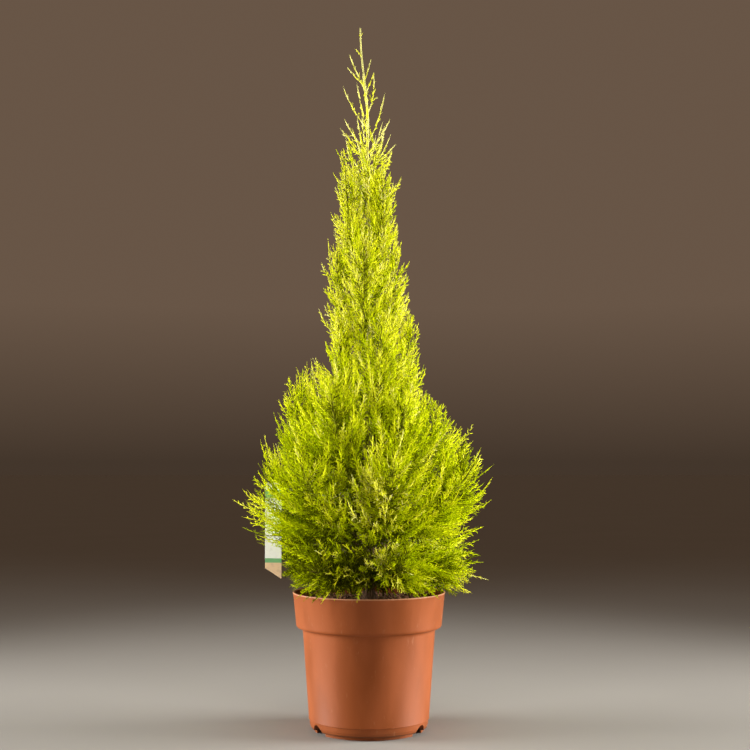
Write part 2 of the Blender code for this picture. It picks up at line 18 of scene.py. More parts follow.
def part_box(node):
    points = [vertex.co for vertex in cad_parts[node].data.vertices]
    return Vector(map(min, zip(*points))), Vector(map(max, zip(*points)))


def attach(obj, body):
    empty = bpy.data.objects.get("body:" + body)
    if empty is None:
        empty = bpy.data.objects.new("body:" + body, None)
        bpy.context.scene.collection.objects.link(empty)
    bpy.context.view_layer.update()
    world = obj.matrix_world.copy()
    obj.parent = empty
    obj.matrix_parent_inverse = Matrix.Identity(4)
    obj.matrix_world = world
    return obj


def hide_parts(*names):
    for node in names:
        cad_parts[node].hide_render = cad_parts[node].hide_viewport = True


bl_info = {
    "name": "Lemon cypress in a nursery pot",
    "version": (1, 0, 0),
    "blender": (4, 5, 0),
    "location": "View3D > Sidebar > Cypress",
    "description": "Makes the finish of a potted lemon cypress: pot, soil, wood, foliage and care tag",
    "category": "Object",
}

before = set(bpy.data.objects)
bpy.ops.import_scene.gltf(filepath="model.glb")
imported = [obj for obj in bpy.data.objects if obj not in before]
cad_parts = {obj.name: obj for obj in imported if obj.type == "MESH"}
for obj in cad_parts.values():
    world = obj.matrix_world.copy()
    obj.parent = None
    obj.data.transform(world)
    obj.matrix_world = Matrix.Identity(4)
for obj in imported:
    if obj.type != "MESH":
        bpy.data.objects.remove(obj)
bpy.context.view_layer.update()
POT_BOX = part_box("pot")
SOIL_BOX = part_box("soil")
TRUNK_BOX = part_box("trunk")
TAG_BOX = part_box("care_tag")
RIM, POT_TOP = POT_BOX[1][0], POT_BOX[1][2]

SEED = 19
UP = np.array((0.0, 0.0, 1.0))
GOLDEN_ANGLE = math.radians(137.508)
PIECE_LIMIT = 190_000

# Pot, as in the part's source, with its radii measured in from the rim
COLLAR_HEIGHT = 0.0440
COLLAR_FOOT_INSET = 0.0044
SHOULDER_INSET = 0.0126
HEEL_INSET = 0.0212
FOOT_INSET = 0.0268
FOOT_WIDTH = 0.0034
FLOOR_UNDERSIDE = 0.0105
FLOOR_THICKNESS = 0.0022
CAP_RADIUS = 0.004
NOTCH_AZIMUTHS = (-150, -30, 90)
NOTCH_BAR = (0.0110, 0.0122, 1)
NOTCH_DEPTH = 0.040
POT_SIDES = 160
POT_SMOOTH_ANGLE = math.radians(32)
# Band of height of the painted highlight along the top edge of the rim
LIP_HIGHLIGHT_BAND = (POT_TOP - 0.0020, POT_TOP - 0.0008)
GRIME_BAND = (0.0, 0.016)
# Heights over which the painted shadow under the edge of the skirt rises and fades, over the foot ring
CREASE_FOOT = (0.0032, 0.0040)
CREASE_TOP = (0.0048, 0.0062)
# Radius and height inside which the foot ring, the underside and the notches get painted shade
UNDERSIDE_EDGE = (0.0655, 0.0675)
UNDERSIDE_TOP = (0.0108, 0.0120)

# Soil, as in the part's source, and its crumbs
SOIL_EDGE = 0.1590
SOIL_CROWN = 0.1620
SOIL_SLOPE = (0.016, 0.060)
SOIL_INSET = 0.0006
SOIL_FOOT = (0.0660, 0.0135)
SOIL_STEP = (0.0785, 0.1220)
SOIL_SIDES = 120
SOIL_RINGS = 40
LUMP_HEIGHT = 0.0016
LUMP_GRAIN = 95
LUMP_FADE = 0.006
CRUMB_RING = (0.10, 1.0)
CRUMB_SPREAD = 0.38
CRUMB_SUNK = 0.3
CRUMB_LUMPS = (0.65, 1.2)
CRUMB_SQUASH = (0.55, 1.25)
LARGEST_CRUMB = 0.0036

# Trunk, as in the part's source
TREE_TOP = 0.8800
FLARE_RADIUS = 0.0105
BUTT_RADIUS = 0.0066
TIP_RADIUS = 0.0008
FLARE_HEIGHT = 0.0220
TRUNK_TAPER = 1.20
NOD = -0.0130
NOD_HEIGHTS = (0.745, 0.872)
SWAY = 0.0022
SWAY_WAVELENGTH = 0.31
SWAY_HEIGHTS = (0.19, 0.26)
SWAY_DEPTH_SHARE = 0.6
TRUNK_RINGS = 221
TRUNK_RING_CROWDING = 1.1
PLUMB_RINGS = 4
UNDER_BARK_SHARE = 0.985
BARK_SMOOTH_ANGLE = math.radians(50)
BARK_GRAIN = 420
BOUGH_GRAIN = 500
BOUGH_RELIEF_SHARE = 0.6
RIPE_WOOD_HEIGHT = 0.60

# Crown, as in the part's source: height, then its radius on the left side and on the right
CROWN = (
    (0.168, 0.104, 0.134), (0.200, 0.130, 0.142), (0.240, 0.152, 0.142), (0.285, 0.166, 0.152),
    (0.335, 0.146, 0.154), (0.370, 0.128, 0.134), (0.400, 0.117, 0.106), (0.435, 0.108, 0.079),
    (0.462, 0.082, 0.070), (0.490, 0.058, 0.066), (0.550, 0.059, 0.051), (0.610, 0.052, 0.042),
    (0.650, 0.048, 0.038), (0.700, 0.041, 0.036), (0.750, 0.036, 0.028), (0.800, 0.033, 0.021),
    (0.850, 0.022, 0.012), (0.885, 0.006, 0.006),
)
CROWN_SLACK = 0.013
GIRTH_MARGIN = 0.008
END_TURN_SCATTER = 0.05
END_HEIGHT_SCATTER = 0.003

# Tiers of limbs, as in the part's source
Tier = collections.namedtuple(
    "Tier", "name count azimuth turn root root_step lift swell reach reach_step tip_height tip_step bough")
TIERS = (
    Tier("hem", 6, 230, 60.0, 0.182, 0.016, 8, 0.50, 0.124, 0, 0.208, 0, 0.22),
    Tier("skirt", 7, 182, 51.43, 0.215, 0.018, 20, 0.70, 0.139, 0, 0.332, 0, 0.24),
    Tier("shoulder", 6, 180, 60.0, 0.256, 0.018, 32, 0.78, 0.097, 0, 0.434, 0, 0.34),
    Tier("neck", 5, 216, 72.0, 0.310, 0.020, 48, 0.80, 0.056, 0, 0.505, 0, 0.0),
    Tier("column", 4, 170, 90.0, 0.400, 0.022, 60, 0.85, 0.042, 0, 0.602, 0, 0.0),
    Tier("steeple", 3, 200, 120.0, 0.505, 0.026, 66, 0.85, 0.030, 0, 0.695, 0, 0.0),
    Tier("spire", 6, 190, 137.5, 0.655, 0.029, 62, 0.80, 0.028, -0.0022, 0.735, 0.0225, 0.0),
)
Limb = collections.namedtuple("Limb", "tier name azimuth points")
LIMB_SEGMENTS = 8
LIMB_TURN_SCATTER = 3
LIMB_REACH_SCATTER = (0.97, 1.03)
LIMB_HEIGHT_SCATTER = 0.006
LIMB_BEND_SHARE = 0.7
TIP_ROOM = 0.010
SPIRE_TIP_ROOM = 0.003
SHOULDER_DROP = 0.030
BOUGH_ROOT_RADIUS = 0.0030
STEM_RADIUS = 0.0019
STEM_TAPER = 0.72
STEM_SIDES = 6
STEM_RINGS = 16
BOUGH_RINGS = 26

# How steeply the plumes end at each height: rise over run
PLUME_RISE = (
    (0.160, -0.70), (0.180, -0.40), (0.205, -0.10), (0.240, 0.22), (0.275, 0.80), (0.320, 1.90),
    (0.380, 3.00), (0.480, 3.80), (0.640, 3.60),
)

# Ends of the single long plumes that stand out of the outline
FEATURE_ENDS = (
    (-0.172, 0.006, 0.286), (-0.156, 0.030, 0.298), (-0.158, -0.020, 0.252), (-0.108, 0.010, 0.413),
    (-0.132, -0.015, 0.368), (-0.100, -0.040, 0.388), (0.110, 0.010, 0.380), (0.134, 0.012, 0.384),
    (0.156, -0.008, 0.330), (0.150, 0.010, 0.281), (0.149, -0.012, 0.186), (0.072, 0.015, 0.452),
    (-0.052, 0.012, 0.616), (0.051, -0.006, 0.584), (0.041, -0.010, 0.690), (-0.058, 0.004, 0.552),
    (0.030, -0.118, 0.392), (-0.048, -0.120, 0.362), (-0.088, -0.062, 0.168), (-0.079, -0.073, 0.166),
    (-0.069, -0.082, 0.164), (-0.057, -0.091, 0.165), (-0.045, -0.098, 0.166), (0.086, -0.066, 0.168),
    (-0.128, -0.042, 0.262), (-0.137, -0.036, 0.290), (-0.124, -0.052, 0.246), (-0.141, -0.032, 0.243),
    (-0.119, -0.056, 0.276), (-0.131, -0.030, 0.310), (0.118, -0.020, 0.178), (0.107, -0.042, 0.176),
    (-0.046, -0.004, 0.696), (-0.060, 0.008, 0.585), (-0.063, -0.006, 0.525), (-0.150, 0.004, 0.240),
    (-0.131, -0.012, 0.207), (0.143, -0.010, 0.208), (-0.0755, 0.004, 0.463), (-0.070, 0.010, 0.452),
    (-0.083, -0.006, 0.450), (-0.092, 0.006, 0.444), (-0.066, -0.012, 0.448), (-0.078, -0.020, 0.442),
)

# Open notches in the outline, by height, place across and half width: between the left shoulder
# and the column, over the right shoulder, and under the left one
NOTCHES = (
    ((0.4430, -0.0472, 0.0010), (0.4490, -0.0503, 0.0035), (0.4556, -0.0529, 0.0050),
     (0.4620, -0.0566, 0.0060), (0.4680, -0.0585, 0.0055), (0.4745, -0.0604, 0.0050),
     (0.4870, -0.0625, 0.0040)),
    ((0.4020, 0.1300, 0.0180), (0.4070, 0.1250, 0.0330), (0.4120, 0.1200, 0.0400),
     (0.4180, 0.1200, 0.0430), (0.4330, 0.1200, 0.0420), (0.4460, 0.1200, 0.0430)),
    ((0.3170, -0.1700, 0.0260), (0.3220, -0.1700, 0.0340), (0.3290, -0.1700, 0.0370),
     (0.3420, -0.1700, 0.0350), (0.3480, -0.1700, 0.0300)),
)

# The slim shoots of the leader: the height at which each leaves it, and the place of its tip
LEADER_SHOOTS = (
    (0.8443, (-0.0168, -0.003, 0.8520)), (0.8129, (0.0025, 0.004, 0.8418)),
    (0.8066, (-0.0277, 0.004, 0.8318)), (0.7978, (0.0063, -0.006, 0.8217)),
    (0.7512, (-0.0327, -0.004, 0.8053)), (0.7324, (0.0201, 0.005, 0.8003)),
    (0.7236, (-0.0315, 0.010, 0.7676)), (0.7200, (0.0264, -0.008, 0.7626)),
    (0.7170, (-0.0365, -0.006, 0.7512)), (0.7020, (0.0345, 0.006, 0.7350)),
    (0.7900, (-0.0078, 0.020, 0.8280)), (0.7650, (-0.0046, -0.020, 0.8060)),
    (0.7420, (-0.0032, 0.028, 0.7900)), (0.7280, (-0.0016, -0.026, 0.7750)),
    (0.7720, (-0.0070, -0.014, 0.8120)), (0.7060, (-0.0290, -0.020, 0.7420)),
    (0.7080, (-0.0214, -0.014, 0.7500)), (0.7060, (0.0170, -0.020, 0.7560)),
    (0.7000, (0.0088, 0.030, 0.7520)), (0.6980, (-0.0120, 0.026, 0.7560)),
    (0.6960, (0.0277, 0.012, 0.7480)), (0.7140, (-0.0150, -0.008, 0.7660)),
    (0.6920, (-0.0290, 0.008, 0.7280)), (0.6900, (0.0190, -0.012, 0.7420)),
    (0.6880, (-0.0140, 0.014, 0.7400)), (0.6960, (0.0060, 0.010, 0.7440)),
)
SHOOT_SPRING = 9
SHOOT_LEAFY_SHARE = 0.82
SHOOT_PLANE_SCATTER = 0.3
SPUR_HEIGHTS = (0.70, 0.862, 0.872)
SPUR_STEPS = (0.0098, 0.0024)
SPUR_LENGTH = (0.0025, 0.0062)
SPUR_ANGLE = (18, 42)
SPUR_TURN = GOLDEN_ANGLE * 1.31
SPUR_BEND = 0.1

# Foliage layers, from the outside in, with a few long plumes past the first: how many plumes, the heights
# between which they end, the shares of the crown's radius at which they end, how deep they count as being
# for their colour, and how coarse their twigs and needles are
Layer = collections.namedtuple("Layer", "plumes low high nearest furthest depth coarse")
LAYERS = (
    Layer(1150, 0.180, 0.745, 0.80, 0.97, 0.00, 1.0),
    Layer(110, 0.200, 0.735, 0.97, 1.04, -0.02, 0.9),
    Layer(600, 0.185, 0.720, 0.60, 0.82, 0.10, 1.3),
    Layer(640, 0.190, 0.700, 0.24, 0.62, 0.24, 1.8),
    Layer(260, 0.176, 0.320, 0.20, 0.72, 0.27, 1.9),
    Layer(330, 0.390, 0.715, 0.30, 0.80, 0.14, 1.7),
)
# Plumes that hang over the rim, those close over the soil, and the bright sprigs low on the near side
HANGING = Layer(190, 0.168, 0.200, 0.35, 0.98, 0.10, 1.0)
UNDERGROWTH = Layer(150, 0.160, 0.190, 0.16, 0.72, 0.30, 1.8)
UNDERGROWTH_FRONT = -0.020
SPRIGS = Layer(72, 0.185, 0.345, 0.80, 1.00, -0.36, 1.35)
SPRIG_SPAN = (-0.070, 0.055)
SPRIG_REACH = 0.11
FEATURE_DEPTH = -0.04
# Share of the full number of ends, between these heights at the foot of the bare leader
SPIRE_THINNING = ((0.690, 0.745), (1.00, 0.60))
# The narrow gap in the hanging fringe at the front
FRONT_GAP_PLACE = 0.010
FRONT_GAP_WIDTH = 0.016
FRONT_GAP_DEPTH = -0.05

# Plumes: angles in degrees, and shares of the limb's or the plume's length
PLUME_ANGLE = (32, 48)
FIRST_PLUME = 0.05
LAST_PLUME = 0.965
CLOTHED_BOUGH_SHARE = 0.75
PLUME_ROOT_SCATTER = 0.20
PLUME_AIM_WEIGHT = 0.35
PLUME_WAY_SCATTER = 0.13
PLUME_KNEE = (0.50, 0.66)
PLUME_RISE_RANGE = (0.7, 1.3)
PLUME_RISE_SCATTER = 0.12
LEAFY_LENGTH = (0.046, 0.080)
LEAFY_SHARE = 0.90
SHORTEST_PLUME = 0.012
OUTWARD_PLANE = 1.4
OUTLIER_SLIM = 0.4
VALLEY_WIDTH = 0.014
VALLEY_DEPTH = 0.06
VALLEY_SCATTER = (0.3, 1.0)
FRINGE_STEP = 0.0085
FRINGE_SHARES = (0.14, 0.97)
FRINGE_ANGLE = (24, 44)
FRINGE_LENGTH = (0.026, 0.040)
FRINGE_LIFT = 0.2
FRINGE_CURVE = 0.3
FRINGE_DEPTH = 0.12
FRINGE_COARSE = 1.25
TIP_PLUME_LIFT = 0.25
TIP_PLUME_REACH = 0.010
TIP_PLUME_LEAFY_SHARE = 0.85
TRUNK_PLUMES = 140
TRUNK_PLUME_HEIGHTS = (0.172, 0.660)
TRUNK_PLUME_LENGTH = ((0.18, 0.26, 0.45, 0.66), (0.030, 0.055, 0.060, 0.050))
TRUNK_PLUME_LEAN = ((0.18, 0.30, 0.66), (70, 48, 26))
TRUNK_PLUME_CURVE = 0.5
TRUNK_PLUME_LEAFY_SHARE = 0.80
TRUNK_PLUME_DEPTH = 0.30
TRUNK_PLUME_COARSE = 1.6
TRUNK_PLUME_CROWDING = 1.5
TRUNK_PLUME_SCATTER = 8

# Twigs, branchlets and needles
TWIGS_PER_PLUME = (3, 22)
TWIG_PLACE = (0.2, 0.8)
LAST_TWIG = 0.88
TWIG_RADIUS = 0.00052
TWIG_ROLL = 0.5
TWIG_ANGLE = 41
TWIG_ANGLE_LOSS = 12
TWIG_ANGLE_SCATTER = 7
TWIG_BEND = 0.16
TWIG_PEAK = 0.22
FIRST_TWIG_LENGTH = 0.72
TWIG_GAIN = 1.27
TWIG_LOSS = 0.67
TWIG_SHARE = 0.40
TWIG_SCATTER = (0.78, 1.15)
SLENDER_HEIGHTS = (0.45, 0.70)
SLENDER_LOSS = 0.30
SLIM_SPACING = 0.8
SLIM_TWIG_LOSS = 0.42
SLIM_BEND_LOSS = 0.06
SLIM_STEM_GAIN = 0.6
BRANCHLET_RADIUS = 0.00047
FIRST_BRANCHLET = 0.6
BRANCHLET_PLACE_SCATTER = 0.2
BRANCHLET_LENGTH = 0.0064
BRANCHLET_TAPER = (1.15, 0.55)
BRANCHLET_SHARE = 0.55
BRANCHLET_ANGLE = (24, 40)
BRANCHLET_TILT = 0.4
BRANCHLET_BEND = 0.10
UPPER_HEIGHTS = (0.28, 0.42)
UPPER_ANGLE_LOSS = 0.28
UPPER_LENGTH_LOSS = 0.30
STEM_STRETCHES = ((0.0, 0.36), (0.36, 0.70), (0.70, 1.0))
PLUME_STEM_RADIUS = 0.00090
PLUME_STEM_TAPER = 0.00045
SHORT_THREAD = 0.0095
WAIST_SHARE = 0.72
MOST_NEEDLES = 12
NEEDLE_LEAN = (0.08, 0.20)
NEEDLE_FOLD = 0.0001
NEEDLE_BELLY = 0.40
NEEDLE_TAPER = (1.08, 0.40)
NEEDLE_TURN_SCATTER = 0.4
NEEDLE_SIDE_SCATTER = 0.3
FIRST_NEEDLE = 0.25
SIZE_SCATTER = (0.8, 1.2)

# Room that the foliage leaves at the pot and the tag
RIM_BAND = 0.006
SOIL_GAP = 0.003
RIM_GAP = 0.0015
COLLAR_GAP = 0.001
HANG = 0.016
TAG_GAP = 0.002
TAG_SHOWING = 0.040

# Freshness, with painted light and painted shade in it: its middle value and scatter, its ramps by height and
# across, and what each adds or takes
FRESH_MIDDLE = 0.50
FRESH_SCATTER = 0.15
PATCH_SCATTER = 0.12
SHADE_SCATTER = 0.09
DEEP_SHADE = (1.3, 0.60)
RAMPS = {
    "light_reaches_in": (0.34, 0.50),
    "column": (0.34, 0.56),
    "hem": (0.18, 0.30),
    "shoulder": (0.33, 0.44),
    "sides_low": (0.18, 0.26),
    "sides_high": (0.42, 0.46),
    "brim": (0.172, 0.192),
    "front_middle": (0.26, 0.29),
    "front_top": (0.36, 0.40),
    "front_hollow_shade": (0.24, 0.27),
}
LEFT_RAMP = (-0.05, 0.05)
RIGHT_RAMP = (0.035, 0.065)
BRIM_RAMP = (0.030, 0.055)
FRONT_RAMP = (0.045, 0.075)
COLUMN_GAIN = 0.20
LEADER_GAIN = 0.12
# Painted shade on the sprays low in the crown, more of it on the left and less on the right
HEM_SHADE = 0.16
HEM_LEFT_SHADE = 0.17
HEM_RIGHT_LIGHT = 0.10
# Painted shade on the sprays below the shoulder, more of it on the left
SHOULDER_SHADE = 0.025
SHOULDER_LEFT_SHADE = 0.07
BRIM_GAIN = 0.06
BRIM_LEFT_GAIN = 0.20
FRONT_GAIN = 0.06
# Painted shade in the hollow low at the front
HOLLOW_SHADE = 0.09
SPRIG_DEPTH = -0.15
ALL_SLIM = 0.9
PALEST_SPRAY = 0.85
TWIG_TIP_GAIN = 0.30
TWIG_TIP_MIDDLE = 0.45
BRANCHLET_FRESHNESS = 0.04
STEM_FRESHNESS = 0.16
LEADER_FRESHNESS = 0.92

# How much painted light the sprays below the column get, by their place across; a value below nought is
# painted shade
SIDE_LIGHT_AND_SHADE = (
    (-0.150, 0.08), (-0.120, 0.02), (-0.090, -0.06), (-0.040, 0.0), (0.060, 0.02), (0.085, 0.0),
    (0.105, -0.05), (0.125, -0.13),
)

# Foliage shades, from the freshest tips to the inside of the crown, where the darker ones are partly the
# inner foliage's own deeper green and partly painted shade: name, linear colour, least score
SHADES = (
    ("cream_tips", (0.94, 0.915, 0.28), 0.93),
    ("lemon", (0.97, 0.965, 0.090), 0.78),
    ("lime_yellow", (0.90, 0.925, 0.020), 0.60),
    ("lime", (0.74, 0.83, 0.005), 0.42),
    ("fresh_green", (0.51, 0.62, 0.002), 0.26),
    ("olive", (0.28, 0.33, 0.001), 0.12),
    ("deep_olive", (0.10, 0.115, 0.001), 0.0),
)

# Colours of scuffs, specks and dirt, of the painted highlight and the painted shade on the pot, and of wood,
# linear, and the heights over which wood turns olive, and then young
SCUFF = (0.55, 0.26, 0.14)
SPECK = (0.12, 0.05, 0.03)
# Painted highlight along the top edge of the rim
PAINTED_LIP_HIGHLIGHT = (0.62, 0.30, 0.17)
GRIME = (0.17, 0.085, 0.045)
# Painted shadow under the edge of the skirt, over the foot ring
CREASE_SHADOW = (0.075, 0.034, 0.017)
# Painted shade on the foot ring, the underside and inside the notches
UNDERSIDE_SHADE = (0.030, 0.014, 0.008)
PEAT_FIBRE = (0.34, 0.23, 0.14)
BROWN_STREAKS = ((0.10, 0.060, 0.030), (0.22, 0.15, 0.065))
OLIVE_STREAKS = ((0.13, 0.14, 0.008), (0.28, 0.30, 0.015))
GREEN_STREAKS = ((0.13, 0.14, 0.006), (0.34, 0.37, 0.012))
OLIVE_RISE = (0.19, 0.27)
YOUNG_WOOD = (0.30, 0.52)

# Care tag: its levels are the top of its foot, of the line over it, and the edges of its upper band
TAG_WIDTH = 0.0213
TAG_HEIGHT = 0.1200
TAG_THICKNESS = 0.0008
TAG_LEVELS = (0.0200, 0.0255, 0.1010, 0.1110)
TAG_SLANT = 0.0130
TAG_TURN = math.radians(12)
TAG_EDGE = 0.0002
TAG_CURL = 0.0006
TAG_LIMB = "shoulder_1"
TAG_BOUGH_SHARE = 0.86
TAG_RING_GAP = 0.0012
TAG_RING_THICKNESS = 0.0009
STRAP_WIDTH = 0.0045
STRAP_SAG = 0.0015
STRAP_OVERLAP = 0.004

# Lights: azimuth in degrees, distance, height, width, tallness, and share of the side light's power
LIGHTS = {
    "left_softbox": (-88, 1.60, 0.55, 0.86, 0.96, 0.90),
    "right_softbox": (89, 1.60, 0.55, 0.86, 0.96, 1.0),
    "top_light": (15, 0.45, 1.95, 0.90, 0.90, 0.17),
}
LIGHT_SPREAD = math.radians(95)
LIGHT_COLOUR = (1.0, 0.985, 0.95)
LIGHT_AIM = Vector((0, 0, 0.42))
SKY_LOW = (0.0565, 0.0375, 0.0250)
SKY_HIGH = (0.138, 0.092, 0.062)
SKY_RAMP = (0.0, 0.12)
FLOOR_SIZE = 60
FLOOR_DROP = 0.0002
SENSOR_WIDTH = 36
CAMERA_TILT = 1.30
CAMERA_TURN = -0.27


def smoothstep(low, high, value):
    share = np.clip((value - low) / (high - low), 0, 1)
    return share * share * (3 - 2 * share)


def unit(vectors):
    """Vectors of length one. The last axis holds x, y and z."""
    vectors = np.asarray(vectors, float)
    return vectors / np.maximum(np.linalg.norm(vectors, axis=-1, keepdims=True), 1e-12)


def on_ring(azimuth, reach=1.0):
    """Places level with the origin, at these azimuths and distances from it."""
    return np.stack([reach * np.cos(azimuth), reach * np.sin(azimuth), azimuth * 0], -1)


def leaning(axis, outward, angle):
    """Directions that lean from the axis towards the outward ones by these angles."""
    return axis * np.cos(angle)[:, None] + outward * np.sin(angle)[:, None]


def pick(group, which):
    """The chosen items of a group of plumes or threads."""
    return type(group)(*(part[which] for part in group))


def joined(groups):
    """Groups of plumes or threads, one after the other in one group."""
    return type(groups[0])(*(np.concatenate(parts) for parts in zip(*groups)))


def crown_radius(height, azimuth):
    heights, left, right = np.array(CROWN).T
    right_share = (1 + np.cos(azimuth)) / 2
    left_reach = np.interp(height, heights, left)
    return left_reach + (np.interp(height, heights, right) - left_reach) * right_share


def plume_rise(height):
    return np.interp(height, *np.array(PLUME_RISE).T)


def trunk_place(height):
    """The trunk's centre line: nearly plumb, with the leader nodding to the left at the top."""
    height = np.asarray(height, float)
    nod = NOD * smoothstep(*NOD_HEIGHTS, height)
    wave = np.sin(math.tau * (height - SOIL_CROWN) / SWAY_WAVELENGTH)
    sway = SWAY * wave * smoothstep(*SWAY_HEIGHTS, height)
    return np.stack([nod + sway, SWAY_DEPTH_SHARE * sway, height], -1)


def trunk_radius(height):
    rise = height - SOIL_CROWN
    flare = (FLARE_RADIUS - BUTT_RADIUS) * np.maximum(0.0, 1 - rise / FLARE_HEIGHT) ** 2
    share = np.clip(rise / (TREE_TOP - SOIL_CROWN), 0, 1)
    return TIP_RADIUS + (BUTT_RADIUS - TIP_RADIUS) * (1 - share) ** TRUNK_TAPER + flare


def bezier(start, middle, end, share):
    share = np.asarray(share, float)[..., None]
    return start * (1 - share) ** 2 + middle * (2 * share * (1 - share)) + end * share**2


def bezier_way(start, middle, end, share):
    share = np.asarray(share, float)[..., None]
    return unit((middle - start) * (1 - share) + (end - middle) * share)


def lay_out_limbs():
    """The centre line of every limb, from the trunk to the tip of its mass, as the source lays them."""
    rng = random.Random(SEED)
    limbs = []
    for tier in TIERS:
        spire = tier.name == "spire"
        for i in range(tier.count):
            scatter = rng.uniform(-LIMB_TURN_SCATTER, LIMB_TURN_SCATTER)
            azimuth = math.radians(tier.azimuth + i * tier.turn + scatter)
            outward = np.array((math.cos(azimuth), math.sin(azimuth), 0))
            stagger = i if spire else (2 * i) % tier.count / tier.count
            reach = (tier.reach + tier.reach_step * i) * rng.uniform(*LIMB_REACH_SCATTER)
            tip_height = tier.tip_height + tier.tip_step * i
            tip_height += rng.uniform(-LIMB_HEIGHT_SCATTER, LIMB_HEIGHT_SCATTER)
            if tier.name == "shoulder":
                tip_height -= SHOULDER_DROP * (1 + math.cos(azimuth)) / 2
            tip_room = SPIRE_TIP_ROOM if spire else TIP_ROOM
            reach = min(reach, crown_radius(tip_height, azimuth) - tip_room)
            start = trunk_place(tier.root + tier.root_step * stagger)
            end = trunk_place(tip_height) + outward * reach
            swell = reach * tier.swell
            middle = start + outward * swell + UP * (swell * math.tan(math.radians(tier.lift)))
            if tier.name != "hem":
                middle[2] = min(middle[2], start[2] + LIMB_BEND_SHARE * (tip_height - start[2]))
            points = bezier(start, middle, end, np.linspace(0, 1, LIMB_SEGMENTS + 1))
            limbs.append(Limb(tier, f"{tier.name}_{i + 1}", azimuth, points))
    return limbs


def along(limb, shares):
    """Places, directions, and two directions square to them, at shares of the limb's length."""
    place = np.clip(shares, 0, 1) * LIMB_SEGMENTS
    i = np.minimum(place.astype(int), LIMB_SEGMENTS - 1)
    here = limb.points[i]
    run = limb.points[i + 1] - here
    way = unit(run)
    side = np.array((-math.sin(limb.azimuth), math.cos(limb.azimuth), 0))
    side = unit(side - way * (way @ side)[:, None])
    return here + run * (place - i)[:, None], way, side, np.cross(way, side)


def line_length(line):
    return np.linalg.norm(np.diff(line, axis=0), axis=1).sum()


def nearest_limbs(points, limbs):
    """The limb whose space each point is in, as in the source, its distance, and that of the next nearest."""
    starts = np.concatenate([limb.points[:-1] for limb in limbs])
    runs = np.concatenate([limb.points[1:] - limb.points[:-1] for limb in limbs])
    away = points[:, None, :] - starts
    share = np.clip((away * runs).sum(2) / (runs**2).sum(1), 0, 1)
    gaps = np.linalg.norm(away - runs * share[..., None], axis=2)
    nearest = gaps.reshape(len(gaps), -1, LIMB_SEGMENTS).min(2)
    ranked = np.sort(nearest, axis=1)
    return nearest.argmin(1), ranked[:, 0], ranked[:, 1]


def in_crown(points, slack=0.0):
    centre = trunk_place(np.minimum(points[:, 2], TREE_TOP))
    x, y = points[:, 0] - centre[:, 0], points[:, 1] - centre[:, 1]
    return np.hypot(x, y) < crown_radius(points[:, 2], np.arctan2(y, x)) + slack


def clear_of_pot(points):
    """Over the soil, over the rim, and outside the collar where foliage hangs past it."""
    x, y, height = points.T
    ring = np.hypot(x, y)
    over_soil = (ring < RIM - RIM_BAND) & (height > SOIL_CROWN + SOIL_GAP)
    over_rim = (ring >= RIM - RIM_BAND) & (height > POT_TOP + RIM_GAP)
    outside = (ring > RIM + COLLAR_GAP) & (height > POT_TOP - HANG)
    return over_soil | over_rim | outside


def clear_of_tag(points):
    """Off the care tag's plate, and off the place in front of its lower half, where it shows."""
    x, y, height = points.T
    (left, front, foot), (_, back, top) = TAG_BOX
    across = (x > left - TAG_GAP) & (x < left + TAG_WIDTH + TAG_GAP) & (height > foot - TAG_GAP)
    at_plate = (y > front - TAG_GAP) & (y < back + TAG_GAP) & (height < top)
    return ~(across & (at_plate | ((y < front) & (height < foot + TAG_SHOWING))))


def clear_of_notches(points):
    """Off the open notches in the crown's outline."""
    height = points[:, 2]
    clear = np.ones(len(points), bool)
    for notch in NOTCHES:
        rows = np.array(notch)
        middle = np.interp(height, rows[:, 0], rows[:, 1])
        half = np.interp(height, rows[:, 0], rows[:, 2])
        beside = abs(points[:, 0] - middle) > half
        clear &= beside | (height < rows[0, 0]) | (height > rows[-1, 0])
    return clear


Plumes = collections.namedtuple("Plumes", "root middle end length leafy side depth slim coarse")


def make_plumes(root, middle, end, length, leafy, side, depth, slim, coarse, keep=slice(None)):
    """The plumes to keep. Depth, slimness and coarseness may each be one number for all."""
    shared = (np.full(len(root), value, float) for value in (depth, slim, coarse))
    return pick(Plumes(root, middle, end, length, leafy, side, *shared), keep)


def shell_ends(draw, count, layer):
    """Ends spread evenly over the crown by the golden angle, at the layer's shares of its radius."""
    heights = np.linspace(layer.low, layer.high, 400)
    girth = (crown_radius(heights, 0) + crown_radius(heights, math.pi)) / 2 + GIRTH_MARGIN
    filled = np.cumsum(girth * np.interp(heights, *SPIRE_THINNING))
    height = np.interp((np.arange(count) + 0.5) / count * filled[-1], filled, heights)
    azimuth = draw.uniform(0, math.tau) + np.arange(count) * GOLDEN_ANGLE
    azimuth = azimuth + draw.normal(0, END_TURN_SCATTER, count)
    height = np.clip(height + draw.normal(0, END_HEIGHT_SCATTER, count), layer.low, layer.high)
    reach = crown_radius(height, azimuth) * draw.uniform(layer.nearest, layer.furthest, count)
    return trunk_place(height) + on_ring(azimuth, reach)


def hanging_ends(draw, count, layer, front):
    """Ends in the lowest layer of the crown, over the pot and past its rim, no nearer than this front."""
    height = draw.uniform(layer.low, layer.high, count)
    azimuth = np.arange(count) * GOLDEN_ANGLE
    share = np.sqrt(draw.uniform(layer.nearest**2, layer.furthest**2, count))
    ends = trunk_place(height) + on_ring(azimuth, share * crown_radius(height, azimuth))
    front_gap = (abs(ends[:, 0] - FRONT_GAP_PLACE) < FRONT_GAP_WIDTH / 2) & (ends[:, 1] < FRONT_GAP_DEPTH)
    return ends[~front_gap & (ends[:, 1] > front)]


